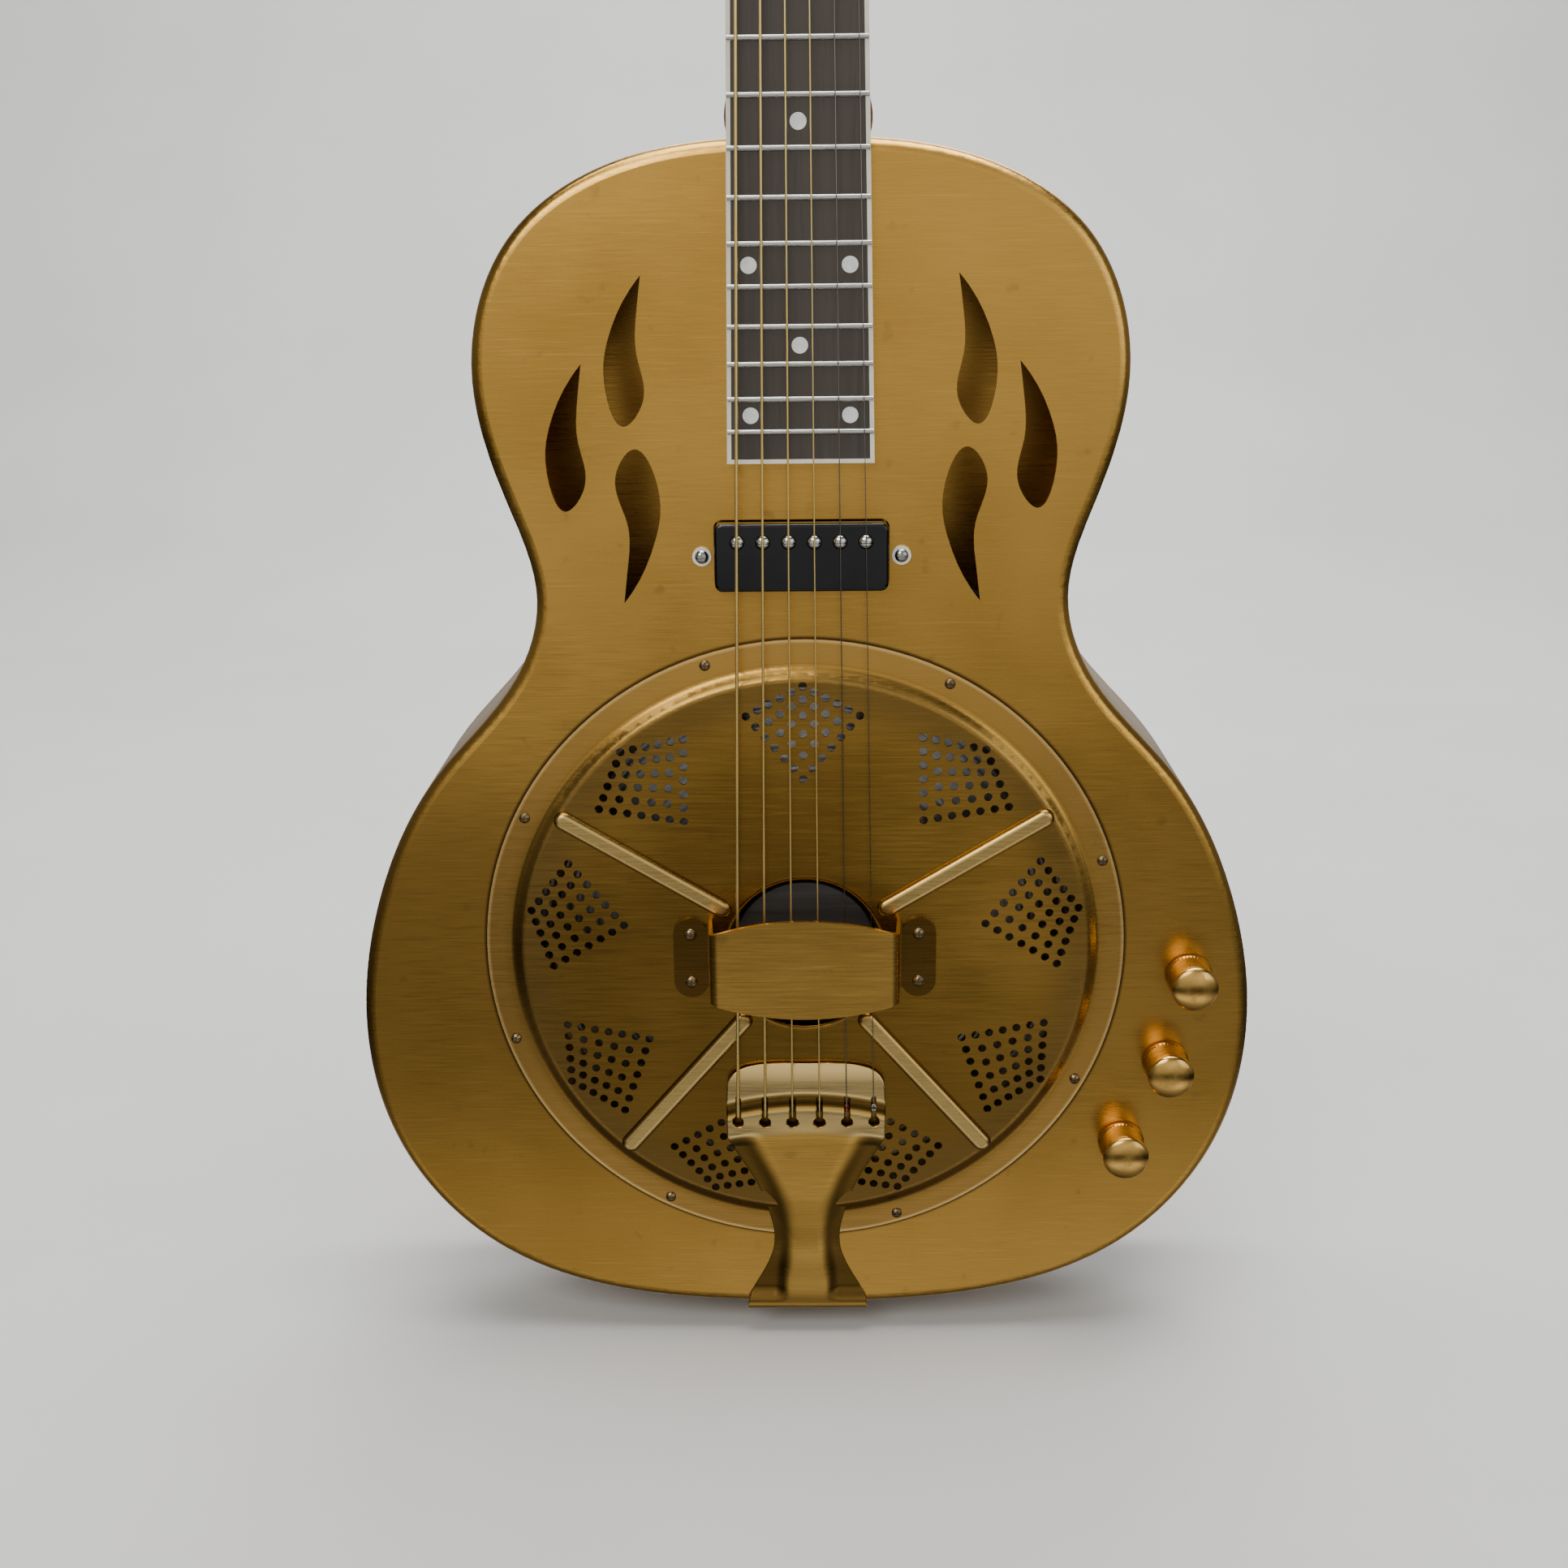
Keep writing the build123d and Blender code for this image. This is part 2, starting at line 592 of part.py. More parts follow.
with BuildPart() as truss_rod:
    with BuildSketch(Plane.XY.offset(JOINT_Z + 22)):
        with Locations((0, -(DEEP - 5.0))):
            Circle(2.9)
    extrude(amount=NUT_Z - JOINT_Z - 32)
truss_rod.part.label = "truss_rod"
export_step(truss_rod.part, "parts/truss_rod.step")

with BuildPart() as neck_stick:
    with Locations(pt(0, STICK_MID, (TAIL + SHEET + 0.3 + JOINT_Z) / 2)):
        Box(STICK_W, STICK_H, JOINT_Z - TAIL - SHEET - 0.3)
    with BuildSketch(Plane.XY.offset(TAIL)):
        Circle(2.7)
    extrude(amount=32, mode=Mode.SUBTRACT)
neck_stick.part.label = "neck_stick"
export_step(neck_stick.part, "parts/neck_stick.step")

DOTS = []
for n in (3, 5, 7, 9, 12, 17):
    DOTS.append((0, (fret_z(n) + fret_z(n - 1)) / 2))
for n in (15, 19):
    for x in (-19.4, 19.4):
        DOTS.append((x, (fret_z(n) + fret_z(n - 1)) / 2))
END_IN = BOARD_END + BINDING
with BuildPart() as fretboard:
    with BuildSketch(front(0)):
        w0 = board_half(END_IN) - BINDING
        w1 = board_half(NUT_Z) - BINDING
        with BuildLine():
            Polyline((-w0, END_IN), (w0, END_IN), (w1, NUT_Z), (-w1, NUT_Z), close=True)
        make_face()
    extrude(amount=BOARD_T)
    with BuildSketch(front(BOARD_T - 1.5)):
        with Locations(*DOTS):
            Circle(3.2)
    extrude(amount=3, mode=Mode.SUBTRACT)
fretboard.part.label = "fretboard"
export_step(fretboard.part, "parts/fretboard.step")

with BuildPart() as fretboard_binding:
    with BuildSketch(front(0)):
        for inset, mode, z0 in ((0, Mode.ADD, BOARD_END), (BINDING, Mode.SUBTRACT, END_IN)):
            w0 = board_half(z0) - inset
            w1 = board_half(NUT_Z) - inset
            with BuildLine():
                Polyline((-w0, z0), (w0, z0), (w1, NUT_Z), (-w1, NUT_Z), close=True)
            make_face(mode=mode)
    extrude(amount=BOARD_T)
fretboard_binding.part.label = "fretboard_binding"
export_step(fretboard_binding.part, "parts/fretboard_binding.step")

with BuildPart() as frets:
    for n in range(1, FRETS + 1):
        z = fret_z(n)
        w = board_half(z) - 0.25
        with BuildSketch(Plane.YZ.offset(-w)):
            with BuildLine():
                Line((-(DEEP + BOARD_T), z - 1.15), (-(DEEP + BOARD_T), z + 1.15))
                ThreePointArc((-(DEEP + BOARD_T), z + 1.15), (-(DEEP + BOARD_T + 1.15), z),
                              (-(DEEP + BOARD_T), z - 1.15))
            make_face()
        extrude(amount=2 * w)
frets.part.label = "frets"
export_step(frets.part, "parts/frets.step")

with BuildPart() as position_dots:
    with BuildSketch(front(BOARD_T - 1.5)):
        with Locations(*DOTS):
            Circle(3.15)
    extrude(amount=1.52)
position_dots.part.label = "position_dots"
export_step(position_dots.part, "parts/position_dots.step")

with BuildPart() as nut:
    with Locations(pt(0, 4.6, NUT_Z + 2.5)):
        Box(2 * board_half(NUT_Z), 9.2, 5.0)
    fillet(nut.edges().filter_by(Axis.X).sort_by(Axis.Y)[0:2], 0.8)
    for i, r in enumerate(STRING_R):
        with Locations(pt(string_x(i, NUT_Z), NUT_STRING_H - 0.1 + 5, NUT_Z)):
            Box(2 * r + 0.3, 10, 40, mode=Mode.SUBTRACT)
    with BuildSketch(HEAD):
        with Locations((0, 10)):
            Rectangle(70, 20)
    extrude(amount=-8, mode=Mode.SUBTRACT)
nut.part.label = "nut"
export_step(nut.part, "parts/nut.step")

# ---------------------------------------------------------------- strings
POST_WAIST = 2.6


def post_of(i):
    """Side and position of the tuner of string i."""
    side = 1 if i < 3 else -1
    order = (0, 1, 2, 2, 1, 0)[i]
    return side, POST_V[order]


for i, r in enumerate(STRING_R):
    side, v = post_of(i)
    run = [
        pt(string_x(i, KEYHOLE_Z), 8.4, KEYHOLE_Z + 2.2),
        pt(string_x(i, SLOT_END_Z), TAIL_TOP + 0.25 + r, SLOT_END_Z + 0.5),
        pt(string_x(i, SADDLE_Z), SADDLE_STRING_H + r, SADDLE_Z),
        pt(string_x(i, NUT_Z), NUT_STRING_H + r, NUT_Z + 5.3),
        hp(side * (POST_U - POST_WAIST - r - 0.25), v, 6.0),
    ]
    with BuildPart() as string:
        add(tube(run, r))
    string.part.label = f"string_{i + 1}"
    export_step(string.part, f"parts/string_{i + 1}.step")

with BuildPart() as ball_ends:
    for i in range(6):
        with BuildSketch(front(5.9)):
            with Locations((string_x(i, KEYHOLE_Z), KEYHOLE_Z)):
                Circle(1.9)
        extrude(amount=3.3)
ball_ends.part.label = "ball_ends"
export_step(ball_ends.part, "parts/ball_ends.step")

# ---------------------------------------------------------------- pickup
POLES = [string_x(i, POLE_Z) for i in range(6)]
with BuildPart() as pickup_cover:
    with BuildSketch(front(-12)):
        with Locations((0, PICKUP_Z)):
            RectangleRounded(69.4, 27.4, 3.0)
    extrude(amount=20)
    fillet(pickup_cover.faces().sort_by(Axis.Y)[0].edges(), 1.3)
    with BuildSketch(front(-12)):
        with Locations((0, PICKUP_Z)):
            RectangleRounded(67.8, 25.8, 2.2)
    extrude(amount=19.1, mode=Mode.SUBTRACT)
    with BuildSketch(front(5)):
        with Locations(*[(x, POLE_Z) for x in POLES]):
            Circle(3.0)
    extrude(amount=5, mode=Mode.SUBTRACT)
pickup_cover.part.label = "pickup_cover"
export_step(pickup_cover.part, "parts/pickup_cover.step")

with BuildPart() as pickup_coil:
    with BuildSketch(front(-11.8)):
        with Locations((0, PICKUP_Z)):
            RectangleRounded(67.0, 25.0, 2.0)
    extrude(amount=18)
    with BuildSketch(front(-14)):
        with Locations((0, PICKUP_Z)):
            SlotOverall(92.0, 24.0)
    extrude(amount=1.6)
    with BuildSketch(front(-12.6)):
        with Locations((0, PICKUP_Z)):
            RectangleRounded(67.0, 25.0, 2.0)
    extrude(amount=1.0)
    with BuildSketch(front(-15)):
        with Locations(*[(x, POLE_Z) for x in POLES]):
            Circle(1.7)
        with Locations(*PICKUP_SCREWS):
            Circle(1.7)
    extrude(amount=30, mode=Mode.SUBTRACT)
pickup_coil.part.label = "pickup_coil"
export_step(pickup_coil.part, "parts/pickup_coil.step")

with BuildPart() as pickup_poles:
    for x in POLES:
        add(at_front(x, 7.0, POLE_Z) * round_screw(2.8, 1.9, 1.5, 20.0, cross=False))
pickup_poles.part.label = "pickup_poles"
export_step(pickup_poles.part, "parts/pickup_poles.step")

with BuildPart() as pickup_screws:
    for x, z in PICKUP_SCREWS:
        add(at_front(x, 1.4, z) * round_screw(2.7, 1.7, 1.5, 17.5))
pickup_screws.part.label = "pickup_screws"
export_step(pickup_screws.part, "parts/pickup_screws.step")

with BuildPart() as pickup_collars:
    for x, z in PICKUP_SCREWS:
        with BuildSketch(front(0)):
            with Locations((x, z)):
                Circle(3.8)
                Circle(1.8, mode=Mode.SUBTRACT)
        extrude(amount=1.4)
pickup_collars.part.label = "pickup_collars"
export_step(pickup_collars.part, "parts/pickup_collars.step")

# ---------------------------------------------------------------- controls
KNOB_R = 9.6
KNOB_H = 18.5
for name, (kx, kz) in KNOBS.items():
    axis = Axis(pt(kx, 0, TAIL + kz), (0, -1, 0))
    with BuildPart() as knob:
        with BuildSketch(Plane(origin=pt(kx, 0, TAIL + kz), x_dir=(1, 0, 0), z_dir=(0, 0, 1))):
            with BuildLine():
                Polyline((KNOB_R + 0.4, -1.0), (KNOB_R, -2.2), (KNOB_R - 0.5, -14.4), (KNOB_R - 1.1, -15.2))
                ThreePointArc((KNOB_R - 1.1, -15.2), (5.4, -17.4), (1.5, 0.3 - KNOB_H))
                Polyline((1.5, 0.3 - KNOB_H), (0, 0.3 - KNOB_H), (0, -14.2), (3.05, -14.2), (3.05, -7.5),
                         (6.6, -7.5), (6.6, -1.0), (KNOB_R + 0.4, -1.0))
            make_face()
        revolve(axis=axis)
    knob.part.label = f"knob_{name}"
    export_step(knob.part, f"parts/knob_{name}.step")
    with BuildPart() as pot_shaft:
        with BuildSketch(front(-9.0)):
            with Locations((kx, TAIL + kz)):
                Circle(3.0)
        extrude(amount=23.0)
    pot_shaft.part.label = f"pot_shaft_{name}"
    export_step(pot_shaft.part, f"parts/pot_shaft_{name}.step")

with BuildPart() as potentiometers:
    for kx, kz in KNOBS.values():
        with BuildSketch(front(-13.0)):
            with Locations((kx, TAIL + kz)):
                Circle(11.8)
        extrude(amount=11.2)
        with BuildSketch(front(-2.0)):
            with Locations((kx, TAIL + kz)):
                Circle(4.6)
        extrude(amount=6.0)
        with BuildSketch(front(0.1)):
            with Locations((kx, TAIL + kz)):
                RegularPolygon(6.2, 6)
        extrude(amount=2.0)
        with BuildSketch(front(-9.3)):
            with Locations((kx, TAIL + kz)):
                Circle(3.06)
        extrude(amount=20.0, mode=Mode.SUBTRACT)
        for dz in (-5.0, 0, 5.0):
            with Locations(pt(kx - 13.5, -8.0, TAIL + kz + dz)):
                Box(5.0, 0.8, 2.2)
potentiometers.part.label = "potentiometers"
export_step(potentiometers.part, "parts/potentiometers.step")

with BuildPart() as wiring:
    add(tube([pt(38, -15.2, TAIL + 340), pt(60, -17.0, TAIL + 330), pt(100, -17.0, TAIL + 304),
              pt(148, -17.0, TAIL + 236), pt(149.5, -10.5, TAIL + 176)], 0.9))
    add(tube([pt(152, -14.6, TAIL + 150), pt(168, -30, TAIL + 140),
              pt(168.4, JACK_H, JACK_Z)], 0.9))
wiring.part.label = "wiring"
export_step(wiring.part, "parts/wiring.step")

JY = -(DEEP + JACK_H)
with BuildPart() as jack_plate:
    with BuildSketch(Plane.YZ.offset(HALF_W)):
        with Locations((JY, JACK_Z)):
            SlotOverall(34, 19, rotation=90)
            Circle(5.2, mode=Mode.SUBTRACT)
        with Locations((JY, JACK_Z - 12), (JY, JACK_Z + 12)):
            Circle(1.4, mode=Mode.SUBTRACT)
    extrude(amount=1.5)
jack_plate.part.label = "jack_plate"
export_step(jack_plate.part, "parts/jack_plate.step")

with BuildPart() as jack_plate_screws:
    for dz in (-12, 12):
        add(Plane(origin=(HALF_W + 1.5, JY, JACK_Z + dz), x_dir=(0, 1, 0), z_dir=(1, 0, 0)).location
            * round_screw(2.6, 1.6, 1.15, 9.0))
jack_plate_screws.part.label = "jack_plate_screws"
export_step(jack_plate_screws.part, "parts/jack_plate_screws.step")

with BuildPart() as jack_socket:
    with BuildSketch(Plane.YZ.offset(HALF_W + 1.5)):
        with Locations((JY, JACK_Z)):
            RegularPolygon(7.2, 6)
    extrude(amount=2.4)
    with BuildSketch(Plane.YZ.offset(HALF_W - 4.0)):
        with Locations((JY, JACK_Z)):
            Circle(4.8)
    extrude(amount=9.0)
    with BuildSketch(Plane.YZ.offset(HALF_W - 21.5)):
        with Locations((JY, JACK_Z)):
            RectangleRounded(15, 15, 2)
    extrude(amount=18.0)
    with BuildSketch(Plane.YZ.offset(HALF_W - 20.0)):
        with Locations((JY, JACK_Z)):
            Circle(3.22)
    extrude(amount=30.0, mode=Mode.SUBTRACT)
jack_socket.part.label = "jack_socket"
export_step(jack_socket.part, "parts/jack_socket.step")

# ---------------------------------------------------------------- tuners
WORM_DV = 8.0
WORM_W = -20.5
with BuildPart() as tuner_housings:
    for side in (-1, 1):
        for v in POST_V:
            with BuildSketch(HEAD.offset(-HEAD_T)):
                with Locations((side * POST_U, v + 2.5)):
                    RectangleRounded(17.0, 21.0, 2.5)
            extrude(amount=-12.0)
            with BuildSketch(HEAD.offset(-HEAD_T - 1.3)):
                with Locations((side * POST_U, v + 2.5)):
                    Rectangle(14.2, 18.2)
            extrude(amount=-9.3, mode=Mode.SUBTRACT)
            with BuildSketch(HEAD.offset(-HEAD_T + 1)):
                with Locations((side * POST_U, v)):
                    Circle(3.4)
            extrude(amount=-4.0, mode=Mode.SUBTRACT)
            with BuildSketch(Plane(origin=hp(side * (POST_U + 4), v + WORM_DV, WORM_W), x_dir=HEAD.y_dir,
                                   z_dir=(side, 0, 0))):
                Circle(1.56)
            extrude(amount=12.0, mode=Mode.SUBTRACT)
tuner_housings.part.label = "tuner_housings"
export_step(tuner_housings.part, "parts/tuner_housings.step")

with BuildPart() as tuner_bushings:
    for side in (-1, 1):
        for v in POST_V:
            with BuildSketch(HEAD.offset(-8.0)):
                with Locations((side * POST_U, v)):
                    Circle(4.8)
            extrude(amount=8.2)
            with BuildSketch(HEAD):
                with Locations((side * POST_U, v)):
                    Circle(6.6)
            extrude(amount=1.4)
            with BuildSketch(HEAD.offset(-9.0)):
                with Locations((side * POST_U, v)):
                    Circle(3.06)
            extrude(amount=12.0, mode=Mode.SUBTRACT)
tuner_bushings.part.label = "tuner_bushings"
export_step(tuner_bushings.part, "parts/tuner_bushings.step")

for i in range(6):
    side, v = post_of(i)
    u = side * POST_U
    with BuildPart() as post:
        with BuildSketch(HEAD.offset(-24.0)):
            with Locations((u, v)):
                Circle(3.0)
        extrude(amount=27.5)
        with BuildSketch(HEAD.offset(3.0)):
            with Locations((u, v)):
                Circle(POST_WAIST)
        extrude(amount=7.0)
        with BuildSketch(HEAD.offset(9.0)):
            with Locations((u, v)):
                Circle(3.0)
        extrude(amount=2.6)
        with BuildSketch(HEAD.offset(-22.6)):
            with Locations((u, v)):
                Circle(5.2)
                with PolarLocations(5.2, 14):
                    Circle(0.55, mode=Mode.SUBTRACT)
        extrude(amount=4.2)
    post.part.label = f"tuner_post_{i + 1}"
    export_step(post.part, f"parts/tuner_post_{i + 1}.step")

    with BuildPart() as button:
        start = Plane(origin=hp(u - side * 6.0, v + WORM_DV, WORM_W), x_dir=HEAD.y_dir, z_dir=(side, 0, 0))
        with BuildSketch(start):
            Circle(1.5)
        extrude(amount=26.0)
        for k in range(5):
            with BuildSketch(start.offset(1.6 + 2.2 * k)):
                Circle(2.35)
            extrude(amount=1.2)
        with BuildSketch(start.offset(15.0)):
            Circle(3.0)
        extrude(amount=8.0)
        with BuildSketch(Plane(origin=hp(u + side * 25.5, v + WORM_DV, WORM_W), x_dir=(1, 0, 0),
                               z_dir=HEAD.z_dir)):
            Ellipse(8.0, 9.5)
        extrude(amount=3.2, both=True)
        fillet(button.faces().filter_by(HEAD).edges(), 1.2)
    button.part.label = f"tuner_button_{i + 1}"
    export_step(button.part, f"parts/tuner_button_{i + 1}.step")
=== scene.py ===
"""Looks of the resonator guitar: brushed antique brass body, strings, knobs and fittings."""
import json
import math

import bmesh
import bpy
from mathutils import Matrix, Vector


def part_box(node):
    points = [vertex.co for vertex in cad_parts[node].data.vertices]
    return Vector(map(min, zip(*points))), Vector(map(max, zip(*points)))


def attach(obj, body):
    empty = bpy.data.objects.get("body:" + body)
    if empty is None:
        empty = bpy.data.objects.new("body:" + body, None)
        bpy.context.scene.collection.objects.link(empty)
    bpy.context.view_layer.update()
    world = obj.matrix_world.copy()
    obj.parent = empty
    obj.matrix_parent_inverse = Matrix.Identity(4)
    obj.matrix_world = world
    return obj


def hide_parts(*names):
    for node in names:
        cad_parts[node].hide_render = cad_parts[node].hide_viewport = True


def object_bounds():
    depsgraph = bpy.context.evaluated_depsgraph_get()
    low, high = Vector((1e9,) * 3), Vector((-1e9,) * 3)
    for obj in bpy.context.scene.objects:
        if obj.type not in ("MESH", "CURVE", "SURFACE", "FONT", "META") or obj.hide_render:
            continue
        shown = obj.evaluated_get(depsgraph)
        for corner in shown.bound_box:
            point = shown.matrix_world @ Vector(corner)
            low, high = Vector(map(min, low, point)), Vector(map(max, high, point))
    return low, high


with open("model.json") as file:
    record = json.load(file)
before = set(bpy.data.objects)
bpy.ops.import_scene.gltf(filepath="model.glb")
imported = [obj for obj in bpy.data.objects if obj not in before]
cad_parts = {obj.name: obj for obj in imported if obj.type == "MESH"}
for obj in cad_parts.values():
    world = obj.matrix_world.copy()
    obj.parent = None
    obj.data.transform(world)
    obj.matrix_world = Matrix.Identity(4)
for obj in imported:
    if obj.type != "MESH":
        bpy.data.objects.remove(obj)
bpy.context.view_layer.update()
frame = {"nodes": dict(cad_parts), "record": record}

NODES = frame["nodes"]


# ------------------------------------------------------------------ node helper
class Shader:
    """One procedural material; every texture reads object coordinates, in metres."""

    def __init__(self, name, metallic=0.0, roughness=0.5, coat=0.0, anisotropic=0.0, specular=0.5):
        self.mat = bpy.data.materials.new(name)
        self.mat.use_nodes = True
        self.tree = self.mat.node_tree
        self.bsdf = self.tree.nodes["Principled BSDF"]
        self.bsdf.inputs["Metallic"].default_value = metallic
        self.bsdf.inputs["Roughness"].default_value = roughness
        self.bsdf.inputs["Coat Weight"].default_value = coat
        self.bsdf.inputs["Coat Roughness"].default_value = 0.15
        self.bsdf.inputs["Anisotropic"].default_value = anisotropic
        self.bsdf.inputs["Specular IOR Level"].default_value = specular
        self.coord = self.new("TexCoord").outputs["Object"]
        self.bump_out = None

    def new(self, kind):
        return self.tree.nodes.new("ShaderNode" + kind)

    def link(self, a, b):
        self.tree.links.new(a, b)

    def feed(self, socket, value):
        if isinstance(value, bpy.types.NodeSocket):
            self.link(value, socket)
        elif isinstance(value, (tuple, list)) and socket.type == "RGBA":
            socket.default_value = (*value[:3], 1)
        else:
            socket.default_value = value

    def noise(self, scale, detail=3.0, rough=0.55, distort=0.0, turn=(0, 0, 0)):
        m = self.new("Mapping")
        m.inputs["Scale"].default_value = scale
        m.inputs["Rotation"].default_value = turn
        self.link(self.coord, m.inputs["Vector"])
        n = self.new("TexNoise")
        n.inputs["Scale"].default_value = 1.0
        n.inputs["Detail"].default_value = detail
        n.inputs["Roughness"].default_value = rough
        n.inputs["Distortion"].default_value = distort
        self.link(m.outputs["Vector"], n.inputs["Vector"])
        return n.outputs["Fac"]

    def axis(self, letter):
        s = self.new("SeparateXYZ")
        self.link(self.coord, s.inputs["Vector"])
        return s.outputs[letter]

    def radius(self, cx, cz):
        """Distance from the line x = cx, z = cz."""
        x = self.math("SUBTRACT", self.axis("X"), cx)
        z = self.math("SUBTRACT", self.axis("Z"), cz)
        return self.math("SQRT", self.math("ADD", self.math("MULTIPLY", x, x), self.math("MULTIPLY", z, z)))

    def math(self, op, a, b=0.0):
        n = self.new("Math")
        n.operation = op
        self.feed(n.inputs[0], a)
        self.feed(n.inputs[1], b)
        return n.outputs[0]

    def remap(self, value, lo, hi, out_lo=0.0, out_hi=1.0):
        n = self.new("MapRange")
        n.interpolation_type = "SMOOTHSTEP"
        self.feed(n.inputs["Value"], value)
        for key, v in (("From Min", lo), ("From Max", hi), ("To Min", out_lo), ("To Max", out_hi)):
            n.inputs[key].default_value = v
        return n.outputs["Result"]

    def mix(self, fac, a, b, blend="MIX"):
        n = self.new("Mix")
        n.data_type = "RGBA"
        n.blend_type = blend
        self.feed(n.inputs["Factor"], fac)
        self.feed(n.inputs["A"], a)
        self.feed(n.inputs["B"], b)
        return [o for o in n.outputs if o.type == "RGBA"][0]

    def color(self, value):
        self.feed(self.bsdf.inputs["Base Color"], value)

    def rough(self, value, lo, hi):
        self.link(self.remap(value, 0.3, 0.7, lo, hi), self.bsdf.inputs["Roughness"])

    def bump(self, height, strength, distance):
        n = self.new("Bump")
        n.inputs["Strength"].default_value = strength
        n.inputs["Distance"].default_value = distance
        self.link(height, n.inputs["Height"])
        if self.bump_out is not None:
            self.link(self.bump_out, n.inputs["Normal"])
        self.bump_out = n.outputs["Normal"]
        self.link(self.bump_out, self.bsdf.inputs["Normal"])


# ------------------------------------------------------------------ materials
C_LO, C_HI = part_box("coverplate")
COVER_Z = (C_LO[2] + C_HI[2]) / 2
FACE_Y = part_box("coverplate")[1][1]      # the plane of the body's front


def brushed_brass(name, kind, light=(0.80, 0.465, 0.105), dark=(0.62, 0.345, 0.068), smooth=0.22):
    s = Shader(name, metallic=1.0, roughness=0.35, anisotropic=0.5)
    s.bsdf.inputs["Anisotropic Rotation"].default_value = 0.25
    cloud = s.noise((6, 6, 6), 3, 0.6)
    bend = s.noise((14, 14, 14), 2, 0.5)
    fine = s.noise((45, 500, 1900), 2, 0.6, 0.2)
    slant = s.noise((60, 500, 1500), 2, 0.55, 0.2, turn=(0, 0.30, 0))
    scratch = s.noise((26, 300, 2600), 1, 0.5, turn=(0, 0.05, 0))
    marks = s.mix(s.remap(bend, 0.42, 0.58), fine, slant)
    base = s.mix(s.remap(cloud, 0.30, 0.70), dark, light)
    base = s.mix(s.remap(marks, 0.36, 0.66, 0.0, 0.15), base, tuple(c * 0.66 for c in dark))
    bright = (min(light[0] * 1.2, 1), light[1] * 1.3, light[2] * 1.5)
    base = s.mix(s.remap(scratch, 0.64, 0.76, 0.0, 0.40), base, bright)
    base = s.mix(s.remap(s.noise((110, 110, 110), 2, 0.4), 0.68, 0.80, 0.0, 0.30), base, (0.25, 0.155, 0.055))
    depth = s.math("ABSOLUTE", s.axis("Y"))
    r = s.radius(0, COVER_Z)
    if kind == "body":
        # painted shade: a darker band across the lower bout, strongest on the bass side
        painted_shade_band = s.remap(s.math("ABSOLUTE", s.math("SUBTRACT", s.axis("Z"), COVER_Z - 0.005)), 0.03, 0.135, 1.0, 0.0)
        painted_shade_band = s.math("MULTIPLY", painted_shade_band, s.remap(s.axis("X"), -0.16, 0.20, 0.66, 0.40))
        base = s.mix(s.math("MULTIPLY", painted_shade_band, s.remap(cloud, 0.2, 0.8, 0.7, 1.0)), base, (0.16, 0.085, 0.016))
        # painted shade, warm and darker, round the rolled edges and on the body's sides, and a painted shadow line
        # beside the coverplate
        painted_edge_shade = s.remap(depth, 0.0372, 0.0418, 1.0, 0.0)
        wob = s.noise((30, 30, 30), 3, 0.6)
        base = s.mix(s.math("MULTIPLY", painted_edge_shade, s.remap(wob, 0.25, 0.7, 0.30, 0.65)), base, (0.46, 0.245, 0.065))
        # painted shade on the body's sides, set back from the face
        side = s.remap(depth, 0.033, 0.038, 0.45, 0.0)
        base = s.mix(side, base, (0.27, 0.165, 0.055))
        # painted shadow: a thin dark line in the gap round the coverplate
        painted_gap_shadow = s.math("MULTIPLY", s.remap(r, 0.1358, 0.1374, 1.0, 0.0), s.remap(depth, 0.0410, 0.0418))
        base = s.mix(s.math("MULTIPLY", painted_gap_shadow, 0.92), base, (0.060, 0.034, 0.012))
    if kind == "cover":
        # painted shade towards the lower left, fading out above and right of the middle, as if lit from the upper
        # right
        painted_shade_slope = s.math("ADD", s.math("MULTIPLY", s.axis("X"), 0.55), s.math("SUBTRACT", s.axis("Z"), COVER_Z))
        base = s.mix(s.remap(painted_shade_slope, -0.06, 0.11, 0.62, 0.0), base, (0.19, 0.105, 0.022))
        # painted shade inside the rim, a painted orange reflection on the flange, a painted highlight on the outer
        # lip and on the rib crests, painted shadow along the ribs' flanks
        painted_rim_shade = s.math("MULTIPLY", s.remap(r, 0.098, 0.117), s.remap(r, 0.119, 0.127, 1.0, 0.0))
        base = s.mix(s.math("MULTIPLY", painted_rim_shade, 0.55), base, (0.25, 0.155, 0.050))
        # painted reflection: a brighter orange flange ring
        base = s.mix(s.remap(r, 0.122, 0.130, 0.0, 0.55), base, (0.56, 0.325, 0.090))
        # painted highlight: a thin bright line just inside the plate's outer edge
        painted_lip_highlight = s.math("MULTIPLY", s.remap(r, 0.1338, 0.1350), 0.8)
        base = s.mix(painted_lip_highlight, base, (0.95, 0.64, 0.24))
        on_rib = s.remap(r, 0.036, 0.042)
        # painted shadow: a dark line along the lower flank of each rib
        foot = s.math("MULTIPLY", s.remap(s.axis("Y"), FACE_Y - 0.0066, FACE_Y - 0.0054, 0.0, 1.0),
                      s.remap(s.axis("Y"), FACE_Y - 0.0054, FACE_Y - 0.00502, 1.0, 0.0))
        base = s.mix(s.math("MULTIPLY", foot, s.math("MULTIPLY", on_rib, 0.8)), base, (0.14, 0.080, 0.020))
        # painted highlight along the tops of the ribs
        painted_crest_highlight = s.math("MULTIPLY", s.remap(s.axis("Y"), FACE_Y - 0.0073, FACE_Y - 0.0066, 0.75, 0.0), on_rib)
        base = s.mix(painted_crest_highlight, base, (0.98, 0.70, 0.26))
    if kind == "fitting":
        # the hand rest's two feet are painted much darker than its bridge
        feet = s.math("MULTIPLY", s.remap(s.math("ABSOLUTE", s.axis("X")), 0.0395, 0.0412),
                      s.remap(s.axis("Y"), FACE_Y - 0.022, FACE_Y - 0.012))
        base = s.mix(s.math("MULTIPLY", feet, 0.90), base, (0.105, 0.052, 0.011))
    if kind == "stamped":
